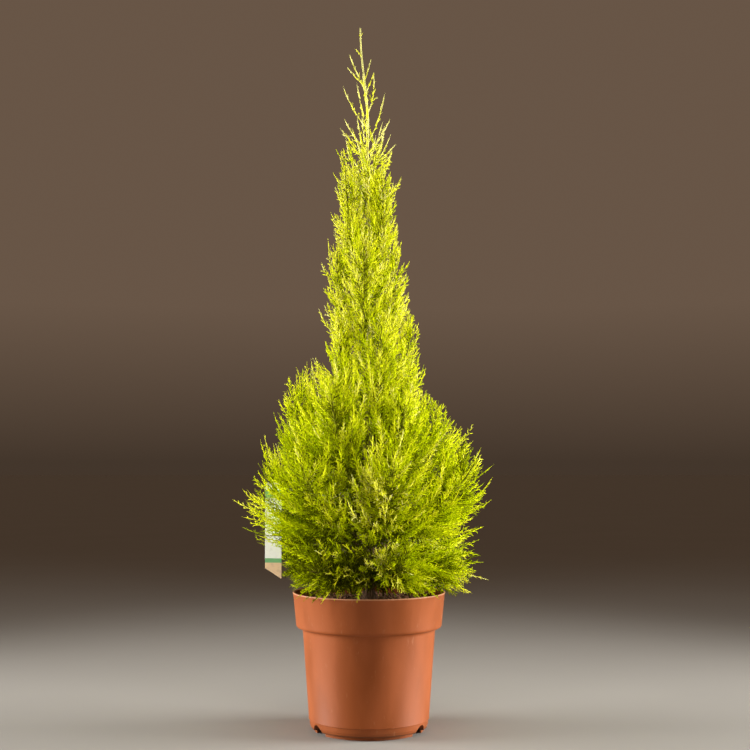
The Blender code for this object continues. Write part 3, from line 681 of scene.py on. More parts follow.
def front_sprig_ends(draw):
    """Ends of the bright young sprigs that stand in front of the dark hollow low on the near side."""
    x = draw.uniform(*SPRIG_SPAN, SPRIGS.plumes)
    height = draw.uniform(SPRIGS.low, SPRIGS.high, SPRIGS.plumes)
    azimuth = np.arctan2(-1.0, x / SPRIG_REACH)
    reach = crown_radius(height, azimuth) * draw.uniform(SPRIGS.nearest, SPRIGS.furthest, SPRIGS.plumes)
    return np.stack([x, -np.sqrt(np.maximum(reach**2 - x**2, 0)), height], 1)


def plumes_to(ends, limbs, draw, layer):
    """One plume for each end. It leaves the limb whose space the end is in, and curves up to it."""
    owner, gap, rival = nearest_limbs(ends, limbs)
    valley = np.clip(1 - (rival - gap) / VALLEY_WIDTH, 0, 1) * VALLEY_DEPTH
    centre = trunk_place(ends[:, 2])
    ends = centre + (ends - centre) * (1 - valley * draw.uniform(*VALLEY_SCATTER, len(ends)))[:, None]
    groups = []
    for number, limb in enumerate(limbs):
        mine = np.flatnonzero(owner == number)
        count = len(mine)
        if not count:
            continue
        end = ends[mine]
        shares = np.linspace(0, 1, 41)
        line = along(limb, shares)[0]
        gaps = np.linalg.norm(end[:, None] - line[None], axis=2)
        angle = np.radians(draw.uniform(*PLUME_ANGLE, count))
        root_share = shares[gaps.argmin(1)] - gaps.min(1) / (line_length(line) * np.tan(angle))
        first = limb.tier.bough * CLOTHED_BOUGH_SHARE + FIRST_PLUME
        root_share = np.clip(root_share, first + draw.uniform(0, PLUME_ROOT_SCATTER, count), LAST_PLUME)
        root = along(limb, root_share)[0]
        length = np.linalg.norm(end - root, axis=1)
        outward = unit((end - centre[mine]) * (1, 1, 0))
        rise = plume_rise(end[:, 2]) * draw.uniform(*PLUME_RISE_RANGE, count)
        rise = rise + draw.normal(0, PLUME_RISE_SCATTER, count)
        last_way = unit(outward + UP * rise[:, None]) + unit(end - root) * PLUME_AIM_WEIGHT
        last_way = unit(last_way + draw.normal(0, PLUME_WAY_SCATTER, (count, 3)))
        middle = end - last_way * (length * draw.uniform(*PLUME_KNEE, count))[:, None]
        leafy = np.minimum(LEAFY_SHARE * length, draw.uniform(*LEAFY_LENGTH, count))
        side = unit(np.cross(last_way, draw.normal(size=(count, 3)) + outward * OUTWARD_PLANE))
        slim = OUTLIER_SLIM if layer.depth < 0 else 0
        groups.append(make_plumes(root, middle, end, length, leafy, side, layer.depth, slim, layer.coarse,
                                  length > SHORTEST_PLUME))
    return joined(groups)


def fringe_plumes(limbs, draw):
    """Short plumes all along each limb by the golden angle, which clothe its wood."""
    groups = []
    for limb in limbs:
        if limb.tier.name == "spire":
            continue
        step = FRINGE_STEP / line_length(along(limb, np.linspace(0, 1, 21))[0])
        shares = np.arange(max(limb.tier.bough, FRINGE_SHARES[0]), FRINGE_SHARES[1], step)
        count = len(shares)
        root, way, side, over = along(limb, shares)
        spin = draw.uniform(0, math.tau) + np.arange(count) * GOLDEN_ANGLE
        outward = leaning(side, over, spin)
        spread = np.radians(draw.uniform(*FRINGE_ANGLE, count))
        lift = UP * (FRINGE_LIFT * plume_rise(root[:, 2]))[:, None]
        aim = unit(leaning(way, outward, spread) + lift)
        length = draw.uniform(*FRINGE_LENGTH, count)
        end = root + aim * length[:, None]
        middle = root + unit(aim + outward * FRINGE_CURVE) * (length * 0.5)[:, None]
        plane = unit(np.cross(aim, draw.normal(size=(count, 3))))
        groups.append(make_plumes(root, middle, end, length, length * LEAFY_SHARE, plane, FRINGE_DEPTH, 0,
                                  FRINGE_COARSE, in_crown(end)))
    return joined(groups)


def trunk_plumes(draw):
    """Short plumes that leave the trunk itself inside the crown, by the golden angle."""
    count = TRUNK_PLUMES
    low, high = TRUNK_PLUME_HEIGHTS
    height = low + (high - low) * np.linspace(0, 1, count) ** TRUNK_PLUME_CROWDING
    outward = on_ring(np.arange(count) * GOLDEN_ANGLE)
    root = trunk_place(height)
    length = np.interp(height, *TRUNK_PLUME_LENGTH) * draw.uniform(*SIZE_SCATTER, count)
    scatter = draw.uniform(-TRUNK_PLUME_SCATTER, TRUNK_PLUME_SCATTER, count)
    lean = np.radians(np.interp(height, *TRUNK_PLUME_LEAN) + scatter)
    aim = leaning(UP, outward, lean)
    middle = root + unit(aim + outward * TRUNK_PLUME_CURVE) * (length * 0.5)[:, None]
    end = root + aim * length[:, None]
    plane = unit(np.cross(aim, draw.normal(size=(count, 3)) + outward))
    return make_plumes(root, middle, end, length, length * TRUNK_PLUME_LEAFY_SHARE, plane,
                       TRUNK_PLUME_DEPTH, 0, TRUNK_PLUME_COARSE)


def limb_tips(limbs, draw):
    """The plume that carries each limb on to the edge of the crown. A spire limb is all plume."""
    slim = np.array([limb.tier.name == "spire" for limb in limbs])
    all_plume = slim[:, None]
    root = np.array([limb.points[0 if bare else -2] for limb, bare in zip(limbs, slim)])
    end = np.array([limb.points[-1] for limb in limbs])
    halfway = np.array([limb.points[LIMB_SEGMENTS // 2] for limb in limbs])
    way = unit(end - root)
    end = np.where(all_plume, end, end + unit(way + UP * TIP_PLUME_LIFT) * TIP_PLUME_REACH)
    middle = np.where(all_plume, 2 * halfway - (root + end) / 2, (root + end) / 2)
    length = np.linalg.norm(end - root, axis=1)
    plane = unit(np.cross(way, draw.normal(size=(len(limbs), 3))))
    return make_plumes(root, middle, end, length, TIP_PLUME_LEAFY_SHARE * length, plane, 0, slim, 1)


def leader_shoots(draw):
    """Slim shoots that leave the leader itself, where the photograph shows them, and a few behind."""
    root = trunk_place([height for height, _ in LEADER_SHOOTS])
    end = np.array([place for _, place in LEADER_SHOOTS])
    run = end - root
    length = np.linalg.norm(run, axis=1)
    aim = unit(run)
    middle = root + unit(aim + run * (1, 1, 0) * SHOOT_SPRING) * (length * 0.5)[:, None]
    plane = unit(np.cross(aim, draw.normal(0, SHOOT_PLANE_SCATTER, (len(root), 3)) + (1, 0, 0)))
    return make_plumes(root, middle, end, length, length * SHOOT_LEAFY_SHARE, plane, 0, 1, 1)


def all_plumes(limbs, draw, density):
    """Every plume of the crown: the layers, then those that hang, stand out, or clothe the wood."""
    groups = []
    for layer in LAYERS:
        ends = shell_ends(draw, round(layer.plumes * density), layer)
        groups.append(plumes_to(ends, limbs, draw, layer))
    for layer, front in ((HANGING, -1.0), (UNDERGROWTH, UNDERGROWTH_FRONT)):
        ends = hanging_ends(draw, round(layer.plumes * density), layer, front)
        groups.append(plumes_to(ends, limbs, draw, layer))
    features = Layer(len(FEATURE_ENDS), 0, 0, 0, 0, FEATURE_DEPTH, 1.0)
    groups.append(plumes_to(np.array(FEATURE_ENDS), limbs, draw, features))
    groups.append(plumes_to(front_sprig_ends(draw), limbs, draw, SPRIGS))
    groups += [fringe_plumes(limbs, draw), trunk_plumes(draw), limb_tips(limbs, draw), leader_shoots(draw)]
    return joined(groups)


def freshness_and_painted_light(plumes, draw):
    """Freshness of each plume, with painted light and shade in it: near 1 at the pale tips, and near 0 inside
    the crown and low down.
    """
    x, y, height = plumes.end.T
    ramp = {name: smoothstep(*heights, height) for name, heights in RAMPS.items()}
    # Darker with depth: partly the inner foliage's own deeper green, partly painted shade where the light
    # does not reach in
    shaded = DEEP_SHADE[0] - DEEP_SHADE[1] * ramp["light_reaches_in"]
    fresh_and_lit = FRESH_MIDDLE - shaded * plumes.depth + draw.normal(0, FRESH_SCATTER, len(height))
    fresh_and_lit += COLUMN_GAIN * ramp["column"] + LEADER_GAIN * (plumes.slim > ALL_SLIM)
    # Painted shade on the sprays low in the crown, more of it on the left and less on the right, in scattered
    # patches
    leftward = 1 - smoothstep(*LEFT_RAMP, x)
    hem_shade = HEM_SHADE + HEM_LEFT_SHADE * leftward - HEM_RIGHT_LIGHT * smoothstep(*RIGHT_RAMP, x)
    fresh_and_lit -= (1 - ramp["hem"]) * (hem_shade + draw.normal(0, PATCH_SCATTER, len(height)))
    # Painted shade on the sprays below the shoulder, more of it on the left
    fresh_and_lit -= (SHOULDER_SHADE + SHOULDER_LEFT_SHADE * leftward) * (1 - ramp["shoulder"])
    # Painted light and painted shade on the sprays below the column, by their place across
    across = np.interp(x, *np.array(SIDE_LIGHT_AND_SHADE).T)
    fresh_and_lit += across * (1 - ramp["sides_high"]) * ramp["sides_low"]
    near = y < 0
    fresh_and_lit += near * (1 - ramp["brim"]) * (BRIM_GAIN + BRIM_LEFT_GAIN * smoothstep(*BRIM_RAMP, -x))
    front = near * (1 - smoothstep(*FRONT_RAMP, abs(x)))
    front_middle = front * ramp["front_middle"] * (1 - ramp["front_top"])
    fresh_and_lit += front_middle * (FRONT_GAIN + draw.normal(0, PATCH_SCATTER, len(height)))
    # Painted shade in the hollow low at the front, which the bright sprigs are spared
    fresh_and_lit -= HOLLOW_SHADE * front * (1 - ramp["front_hollow_shade"]) * (plumes.depth > SPRIG_DEPTH)
    return fresh_and_lit


Threads = collections.namedtuple("Threads", "start way bend length radius side shade coarse")


def spread_over(counts):
    """For each item, its own number repeated, and the place of each repeat within it."""
    owner = np.repeat(np.arange(len(counts)), counts)
    firsts = np.repeat(np.cumsum(counts) - counts, counts)
    return owner, np.arange(len(owner)) - firsts


def grow_twigs(plumes, draw, settings):
    """Side twigs, left and right in turn along the leafy part of each plume."""
    step = settings.twig_spacing * (1 + SLIM_SPACING * plumes.slim) * plumes.coarse
    counts = np.clip(np.round(plumes.leafy / step).astype(int), *TWIGS_PER_PLUME)
    owner, place = spread_over(counts)
    on = pick(plumes, owner)
    order = (place + draw.uniform(*TWIG_PLACE, len(owner))) / counts[owner]
    share = 1 - on.leafy / on.length * (1 - order * LAST_TWIG)
    start = bezier(on.root, on.middle, on.end, share)
    axis = bezier_way(on.root, on.middle, on.end, share)
    side = unit(on.side - axis * (on.side * axis).sum(1)[:, None])
    over = np.cross(axis, side)
    hand = np.where(place % 2, 1.0, -1.0)[:, None]
    outward = leaning(side * hand, over, draw.normal(0, TWIG_ROLL, len(owner)))
    slender = 1 - SLENDER_LOSS * smoothstep(*SLENDER_HEIGHTS, start[:, 2]) * (1 - on.slim)
    spread = (TWIG_ANGLE - TWIG_ANGLE_LOSS * order) * slender
    spread = np.radians(spread + draw.uniform(-TWIG_ANGLE_SCATTER, TWIG_ANGLE_SCATTER, len(owner)))
    way = unit(leaning(axis, outward, spread))
    taper = np.where(order < TWIG_PEAK, FIRST_TWIG_LENGTH + TWIG_GAIN * order,
                     1 - (order - TWIG_PEAK) / (1 - TWIG_PEAK) * TWIG_LOSS)
    full = np.minimum(settings.twig_length, TWIG_SHARE * on.leafy) * (1 - SLIM_TWIG_LOSS * on.slim)
    length = full * taper * draw.uniform(*TWIG_SCATTER, len(owner))
    bend = (axis - way) * (TWIG_BEND - SLIM_BEND_LOSS * on.slim)[:, None]
    return Threads(start, way, bend, length, TWIG_RADIUS * on.coarse, outward, order, on.coarse), owner


def grow_branchlets(twigs, draw, settings):
    """Short branchlets, left and right in turn along each twig."""
    counts = np.floor(twigs.length / (settings.branchlet_spacing * twigs.coarse)).astype(int)
    owner, place = spread_over(counts)
    on = pick(twigs, owner)
    scatter = draw.uniform(-BRANCHLET_PLACE_SCATTER, BRANCHLET_PLACE_SCATTER, len(owner))
    order = (place + FIRST_BRANCHLET + scatter) / (counts[owner] + 0.5)
    reach = (on.length * order)[:, None]
    start = on.start + on.way * reach + on.bend * reach * order[:, None]
    axis = unit(on.way + on.bend * (2 * order)[:, None])
    side = unit(np.cross(axis, np.cross(axis, UP) + draw.normal(0, BRANCHLET_TILT, (len(owner), 3))))
    side = side * np.where(place % 2, 1.0, -1.0)[:, None]
    upper = smoothstep(*UPPER_HEIGHTS, start[:, 2])
    spread = np.radians(draw.uniform(*BRANCHLET_ANGLE, len(owner)) * (1 - UPPER_ANGLE_LOSS * upper))
    way = unit(leaning(axis, side, spread))
    longest = BRANCHLET_LENGTH * (1 - UPPER_LENGTH_LOSS * upper)
    taper = BRANCHLET_TAPER[0] - BRANCHLET_TAPER[1] * order
    length = np.minimum(longest * taper, BRANCHLET_SHARE * on.length)
    length = length * draw.uniform(*SIZE_SCATTER, len(owner))
    bend = (axis - way) * BRANCHLET_BEND
    return Threads(start, way, bend, length, BRANCHLET_RADIUS * on.coarse, side, on.shade, on.coarse), owner


def leader_spurs(draw):
    """Small needled spurs along the leader, closer together under its tip."""
    low, middle, high = SPUR_HEIGHTS
    height = np.concatenate([np.arange(low, middle, SPUR_STEPS[0]), np.arange(middle, high, SPUR_STEPS[1])])
    count = len(height)
    outward = on_ring(draw.uniform(0, 1) + np.arange(count) * SPUR_TURN)
    start = trunk_place(height)
    axis = unit(trunk_place(height + 0.001) - start)
    way = unit(leaning(axis, outward, np.radians(draw.uniform(*SPUR_ANGLE, count))))
    length = draw.uniform(*SPUR_LENGTH, count)
    ones = np.ones(count)
    return Threads(start, way, axis * SPUR_BEND, length, BRANCHLET_RADIUS * ones, outward, ones, ones)


def plume_stems(plumes):
    """Each plume's own stem, as three threads end to end, so that it follows the plume's curve."""
    curve = (plumes.root, plumes.middle, plumes.end)
    parts = []
    for first, last in STEM_STRETCHES:
        at_first, at_last = (np.full(len(plumes.root), share) for share in (first, last))
        start = bezier(*curve, at_first)
        run = bezier(*curve, at_last) - start
        way = bezier_way(*curve, at_first)
        length = np.linalg.norm(run, axis=1)
        bend = run / length[:, None] - way
        radius = (PLUME_STEM_RADIUS - PLUME_STEM_TAPER * first) * (1 + SLIM_STEM_GAIN * plumes.slim)
        parts.append(Threads(start, way, bend, length, radius, plumes.side, at_first, plumes.coarse))
    return parts


def cut_back(threads, owner=None):
    """Drops the threads that would leave the crown, or touch the pot or the tag."""
    middle = threads.start + threads.way * (threads.length * 0.5)[:, None]
    tip = threads.start + (threads.way + threads.bend) * threads.length[:, None]
    keep = in_crown(tip, CROWN_SLACK)
    for points in (threads.start, middle, tip):
        keep &= clear_of_pot(points) & clear_of_tag(points) & clear_of_notches(points)
    return pick(threads, keep), None if owner is None else owner[keep]


def needles_on(threads, spacing):
    """How many needles each thread bears."""
    counts = np.round(threads.length / (spacing * threads.coarse)).astype(int)
    return np.clip(counts, 1, MOST_NEEDLES)


def needle_mesh(threads, settings, draw):
    """Needles one by one round each thread, each a folded kite of two faces that lies close to it."""
    corners = []
    counts = needles_on(threads, settings.needle_spacing)
    for count in np.unique(counts):
        some = pick(threads, np.flatnonzero(counts == count))
        total = len(some.length)
        start, way, bend, side = (part[:, None] for part in (some.start, some.way, some.bend, some.side))
        coarse = some.coarse[:, None, None]
        share = ((np.arange(count) + FIRST_NEEDLE) / count)[:, None]
        run = some.length[:, None, None] * share
        root = start + way * run + bend * run * share
        axis = unit(way + bend * (2 * share))
        first = unit(np.cross(axis, side + draw.normal(0, NEEDLE_SIDE_SCATTER, (total, 1, 3))))
        second = np.cross(axis, first)
        scatter = draw.uniform(-NEEDLE_TURN_SCATTER, NEEDLE_TURN_SCATTER, (total, count, 1))
        spin = (np.arange(count) * GOLDEN_ANGLE)[:, None] + scatter
        out = first * np.cos(spin) + second * np.sin(spin)
        size = settings.needle_length * coarse * (NEEDLE_TAPER[0] - NEEDLE_TAPER[1] * share)
        size = size * draw.uniform(*SIZE_SCATTER, (total, count, 1))
        lean = draw.uniform(*NEEDLE_LEAN, (total, count, 1))
        tip = root + axis * size * np.cos(lean) + out * size * np.sin(lean)
        belly = root + axis * size * NEEDLE_BELLY + out * (NEEDLE_BELLY * size * np.sin(lean) - NEEDLE_FOLD)
        half_width = np.cross(axis, out) * (settings.needle_width * coarse / 2)
        block = np.stack([root, belly + half_width, tip, belly - half_width], 2)
        corners.append(block.reshape(-1, 3))
    corners = np.concatenate(corners)
    base = np.arange(len(corners) // 4)[:, None] * 4
    return corners, np.concatenate([base + (0, 2, 1), base + (0, 3, 2)])


def core_mesh(threads):
    """A three-sided stem for each thread, in two stretches where it is long, running out to a point."""
    spin = np.arange(3) * math.tau / 3
    side = unit(np.cross(threads.way, threads.side + 1e-6))
    over = np.cross(threads.way, side)
    around = side[:, None] * np.cos(spin)[None, :, None] + over[:, None] * np.sin(spin)[None, :, None]
    around = around * threads.radius[:, None, None]
    half = threads.length[:, None] * 0.5
    foot = threads.start[:, None] + around
    waist = (threads.start + threads.way * half + threads.bend * half * 0.5)[:, None] + around * WAIST_SHARE
    tip = (threads.start + (threads.way + threads.bend) * threads.length[:, None])[:, None]
    long = threads.length > SHORT_THREAD
    stems = (
        (np.concatenate([foot, waist, tip], 1)[long], ((0, 1, 4), (0, 4, 3), (3, 4, 6))),
        (np.concatenate([foot, tip], 1)[~long], ((0, 1, 3),)),
    )
    corners, faces, made = [], [], 0
    for block, orders in stems:
        point = block.shape[1] - 1
        base = made + np.arange(len(block))[:, None] * block.shape[1]
        for turn in range(3):
            for order in orders:
                round_by = [v if v == point else v // 3 * 3 + (v + turn) % 3 for v in order]
                faces.append(base + np.array(round_by))
        corners.append(block.reshape(-1, 3))
        made += block.shape[0] * block.shape[1]
    return np.concatenate(corners), np.concatenate(faces)


def faces_in_core(threads):
    return np.where(threads.length > SHORT_THREAD, 9, 3)


def portions(weight, limit):
    """Cuts a row of weights into stretches that each stay under the limit."""
    start = 0
    while start < len(weight):
        fit = max(np.searchsorted(np.cumsum(weight[start:]), limit), 1)
        yield slice(start, start + fit)
        start += fit


def piece_from_arrays(name, corners, faces, material):
    """One joined mesh from arrays of corners and triangles."""
    mesh = bpy.data.meshes.new(name)
    mesh.vertices.add(len(corners))
    mesh.vertices.foreach_set("co", corners.astype(np.float32).ravel())
    mesh.loops.add(len(faces) * 3)
    mesh.loops.foreach_set("vertex_index", faces.astype(np.int32).ravel())
    mesh.polygons.add(len(faces))
    mesh.polygons.foreach_set("loop_start", np.arange(0, len(faces) * 3, 3, dtype=np.int32))
    mesh.update(calc_edges=True)
    mesh.materials.append(material)
    piece = bpy.data.objects.new(name, mesh)
    bpy.context.scene.collection.objects.link(piece)
    return piece


def shaded(colour, share):
    return [value * share for value in colour]


def principled(name, colour, roughness, specular=0.5):
    """A new material with its shader's plain values set: the material, its tree and its shader's inputs."""
    made = bpy.data.materials.new(name)
    made.use_nodes = True
    inputs = made.node_tree.nodes["Principled BSDF"].inputs
    inputs["Base Color"].default_value = (*colour[:3], 1)
    inputs["Roughness"].default_value = roughness
    inputs["Specular IOR Level"].default_value = specular
    return made, made.node_tree, inputs


def add_node(tree, kind, inputs, **settings):
    """A new shader node. Each of its inputs is linked to an output socket, or set to a plain value."""
    node = tree.nodes.new("ShaderNode" + kind)
    for label, value in settings.items():
        setattr(node, label, value)
    for label, value in inputs.items():
        if isinstance(value, bpy.types.NodeSocket):
            tree.links.new(value, node.inputs[label])
        elif node.inputs[label].type == "RGBA":
            node.inputs[label].default_value = (*value[:3], 1)
        else:
            node.inputs[label].default_value = value
    return node


def mixed(tree, factor, colour_a, colour_b):
    """A colour mix. Each of the three may be an output socket or a plain value."""
    inputs = {"Factor": factor, "A": colour_a, "B": colour_b}
    return add_node(tree, "Mix", inputs, data_type="RGBA").outputs["Result"]


def remapped(tree, value, low, high, out_low=0.0, out_high=1.0):
    inputs = {"Value": value, "From Min": low, "From Max": high, "To Min": out_low, "To Max": out_high}
    return add_node(tree, "MapRange", inputs).outputs["Result"]


def calculated(tree, operation, *values):
    return add_node(tree, "Math", dict(enumerate(values)), operation=operation).outputs["Value"]


def times(tree, value, factor):
    return calculated(tree, "MULTIPLY", value, factor)


def bump(tree, shader, height, strength, distance):
    node = add_node(tree, "Bump", {"Strength": strength, "Distance": distance, "Height": height})
    tree.links.new(node.outputs["Normal"], shader["Normal"])


def coordinates_of(tree, kind="Object"):
    return add_node(tree, "TexCoord", {}).outputs[kind]


def height_above_ground(tree):
    return add_node(tree, "SeparateXYZ", {"Vector": coordinates_of(tree)}).outputs["Z"]


def object_coordinates(tree, stretch=(1, 1, 1), turn=(0, 0, 0)):
    """The piece's own coordinates, turned and stretched by a Mapping node."""
    inputs = {"Vector": coordinates_of(tree), "Scale": stretch, "Rotation": turn}
    return add_node(tree, "Mapping", inputs).outputs["Vector"]


def patches_group():
    """Mixes two colours by soft noise on the piece's own coordinates, and gives the mask and the height."""
    found = bpy.data.node_groups.get("patches")
    if found:
        return found
    tree = bpy.data.node_groups.new("patches", "ShaderNodeTree")
    inputs = (
        ("Coordinates", "Vector", None), ("Scale", "Float", 20.0), ("Detail", "Float", 5.0),
        ("Low", "Float", 0.35), ("High", "Float", 0.65),
        ("Colour A", "Color", (0.2, 0.2, 0.2, 1)), ("Colour B", "Color", (0.8, 0.8, 0.8, 1)),
    )
    for label, kind, default in inputs:
        socket = tree.interface.new_socket(label, in_out="INPUT", socket_type="NodeSocket" + kind)
        if default is not None:
            socket.default_value = default
    for label, kind in (("Colour", "Color"), ("Mask", "Float"), ("Height", "Float")):
        tree.interface.new_socket(label, in_out="OUTPUT", socket_type="NodeSocket" + kind)
    given = tree.nodes.new("NodeGroupInput").outputs
    noise_inputs = {"Vector": given["Coordinates"], "Scale": given["Scale"], "Detail": given["Detail"]}
    grain = add_node(tree, "TexNoise", noise_inputs).outputs["Fac"]
    limits = {"Value": grain, "From Min": given["Low"], "From Max": given["High"]}
    mask = add_node(tree, "MapRange", limits, interpolation_type="SMOOTHSTEP").outputs["Result"]
    colour = mixed(tree, mask, given["Colour A"], given["Colour B"])
    out = tree.nodes.new("NodeGroupOutput").inputs
    for label, value in (("Colour", colour), ("Mask", mask), ("Height", grain)):
        tree.links.new(value, out[label])
    return tree


def patches(tree, coordinates, colour_a=(0, 0, 0), colour_b=(1, 1, 1), *, scale, low, high, detail=5.0):
    """The outputs of the patches group, with values of their own."""
    inputs = {"Coordinates": coordinates, "Scale": scale, "Detail": detail, "Low": low, "High": high,
              "Colour A": colour_a, "Colour B": colour_b}
    return add_node(tree, "Group", inputs, node_tree=patches_group()).outputs


def pot_plastic(settings):
    """Satin moulded polypropylene: cloudy flow marks, faint scuffs, specks and dirt at the foot, with a
    painted highlight along the top edge of the rim, a painted shadow over the foot ring and painted shade on
    the underside.
    """
    made, tree, shader = principled("pot_plastic", settings.colour, settings.roughness, specular=0.16)
    plain = object_coordinates(tree)
    flow = object_coordinates(tree, stretch=(1, 1, 0.35))
    slant = object_coordinates(tree, stretch=(6, 1.4, 1.4), turn=(0.0, 0.6, 0.5))
    height = height_above_ground(tree)
    inputs = {0: object_coordinates(tree, stretch=(1, 1, 0))}
    ring = add_node(tree, "VectorMath", inputs, operation="LENGTH").outputs["Value"]
    lighter = [min(1, value * 1.10 + 0.006) for value in settings.colour]
    clouds = patches(tree, flow, shaded(settings.colour, 0.89), lighter, scale=26, low=0.36, high=0.66)
    scuffs = patches(tree, slant, scale=60, low=0.60, high=0.74, detail=3.0)["Mask"]
    specks = patches(tree, plain, scale=900, low=0.66, high=0.72, detail=1.0)["Mask"]
    chalk = patches(tree, plain, scale=38, low=0.44, high=0.66, detail=4.0)["Mask"]
    dust = times(tree, scuffs, chalk)
    # Painted highlight along the top edge of the rim
    lip_highlight = remapped(tree, height, *LIP_HIGHLIGHT_BAND, 0.0, 0.80)
    low_down = remapped(tree, height, *GRIME_BAND, 1.0, 0.0)
    grime = times(tree, low_down, remapped(tree, chalk, 0, 1, 0.10, 0.34))
    # Painted shadow under the edge of the skirt, over the foot ring
    crease_shadow = remapped(tree, height, *CREASE_FOOT, 0.0, 0.62)
    crease_shadow = times(tree, crease_shadow, remapped(tree, height, *CREASE_TOP, 1.0, 0.0))
    # Painted shade on the foot ring, the underside and inside the notches
    under = remapped(tree, ring, *UNDERSIDE_EDGE, 0.85, 0.0)
    under = times(tree, under, remapped(tree, height, *UNDERSIDE_TOP, 1.0, 0.0))
    # Scuffs, specks and dirt, with the painted highlight, the painted shadow and the painted shade, each
    # mixed in by its mask
    wear_and_painted_light = ((times(tree, dust, 0.34), SCUFF), (times(tree, specks, 0.10), SPECK), (lip_highlight, PAINTED_LIP_HIGHLIGHT),
            (grime, GRIME), (crease_shadow, CREASE_SHADOW), (under, UNDERSIDE_SHADE))
    tint = clouds["Colour"]
    for factor, colour in wear_and_painted_light:
        tint = mixed(tree, factor, tint, colour)
    tree.links.new(tint, shader["Base Color"])
    rough = calculated(tree, "ADD", remapped(tree, clouds["Mask"], 0, 1, 0.46, 0.54), times(tree, dust, 0.14))
    tree.links.new(rough, shader["Roughness"])
    pores = patches(tree, plain, scale=1500, low=0.3, high=0.7, detail=2.0)["Height"]
    bump(tree, shader, pores, strength=0.10, distance=0.00025)
    return made


def soil_material(settings):
    """Damp peat: dark brown crumbs with paler fibres and grit."""
    made, tree, shader = principled("peat", settings.colour, roughness=0.95, specular=0.2)
    dark, pale = shaded(settings.colour, 0.45), shaded(settings.colour, 1.9)
    crumbs = patches(tree, object_coordinates(tree), dark, pale, scale=240, low=0.38, high=0.62)
    strands = object_coordinates(tree, stretch=(1, 0.3, 1), turn=(0, 0, 0.7))
    fibres = patches(tree, strands, scale=520, low=0.62, high=0.70, detail=2.0)["Mask"]
    tree.links.new(mixed(tree, times(tree, fibres, 0.5), crumbs["Colour"], PEAT_FIBRE), shader["Base Color"])
    bump(tree, shader, crumbs["Height"], strength=0.6, distance=0.0012)
    return made


def bark_material(settings):
    """Brown bark with pale cracks below, turning to a smooth cream-yellow leader towards the top."""
    made, tree, shader = principled("bark", settings.bark_colour, roughness=0.80, specular=0.25)
    grain = object_coordinates(tree, stretch=(1, 1, 0.22))
    bark, leader = settings.bark_colour, settings.leader_colour
    ridges = patches(tree, grain, shaded(bark, 0.55), shaded(bark, 1.5), scale=420, low=0.40, high=0.62)
    green = patches(tree, grain, shaded(leader, 0.80), leader, scale=300, low=0.35, high=0.70)
    young = remapped(tree, height_above_ground(tree), *YOUNG_WOOD)
    tree.links.new(mixed(tree, young, ridges["Colour"], green["Colour"]), shader["Base Color"])
    tree.links.new(remapped(tree, young, 0, 1, 0.88, 0.55), shader["Roughness"])
    bump(tree, shader, ridges["Height"], strength=0.7, distance=0.0006)
    return made


def twig_material(name, streaks, upper_streaks=None, *, roughness):
    """Thin wood in short streaks of two close colours, which may turn to two others higher up."""
    made, tree, shader = principled(name, streaks[1], roughness, specular=0.06)
    grain = object_coordinates(tree, stretch=(1, 1, 0.5))
    lower = patches(tree, grain, *streaks, scale=260, low=0.38, high=0.62)
    tint = lower["Colour"]
    if upper_streaks:
        upper = patches(tree, grain, *upper_streaks, scale=260, low=0.38, high=0.62)["Colour"]
        tint = mixed(tree, remapped(tree, height_above_ground(tree), *OLIVE_RISE), tint, upper)
    tree.links.new(tint, shader["Base Color"])
    bump(tree, shader, lower["Height"], strength=0.4, distance=0.0003)
    return made


def tag_material(name, colour, soiling):
    """Printed plastic film: a clean gloss face with faint handling marks."""
    made, tree, shader = principled(name, colour, roughness=0.34)
    soiled = shaded(colour, soiling)
    marks = patches(tree, object_coordinates(tree), colour, soiled, scale=160, low=0.52, high=0.74)
    tree.links.new(marks["Colour"], shader["Base Color"])
    tree.links.new(remapped(tree, marks["Mask"], 0, 1, 0.30, 0.46), shader["Roughness"])
    bump(tree, shader, marks["Height"], strength=0.05, distance=0.0003)
    return made


def only(*pieces):
    """Leaves only these pieces selected, the first of them active, in object mode."""
    if bpy.context.mode != "OBJECT":
        bpy.ops.object.mode_set(mode="OBJECT")
    bpy.ops.object.select_all(action="DESELECT")
    for piece in pieces:
        piece.select_set(True)
    if pieces:
        bpy.context.view_layer.objects.active = pieces[0]


def named(name, material):
    """The new primitive or converted object, with its name and material, its place in its mesh."""
    piece = bpy.context.active_object
    piece.name = name
    piece.data.name = name
    piece.data.materials.clear()
    piece.data.materials.append(material)
    bpy.ops.object.transform_apply(location=True, rotation=True, scale=True)
    return piece


def finish_piece(piece, slot, *nodes):
    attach(piece, "root")
    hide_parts(*nodes)
    return piece


def apply_modifier(piece, kind, **settings):
    """Adds a modifier with these settings to the piece, and applies it."""
    modifier = piece.modifiers.new(kind.title(), kind)
    for label, value in settings.items():
        setattr(modifier, label, value)
    only(piece)
    bpy.ops.object.modifier_apply(modifier=modifier.name)


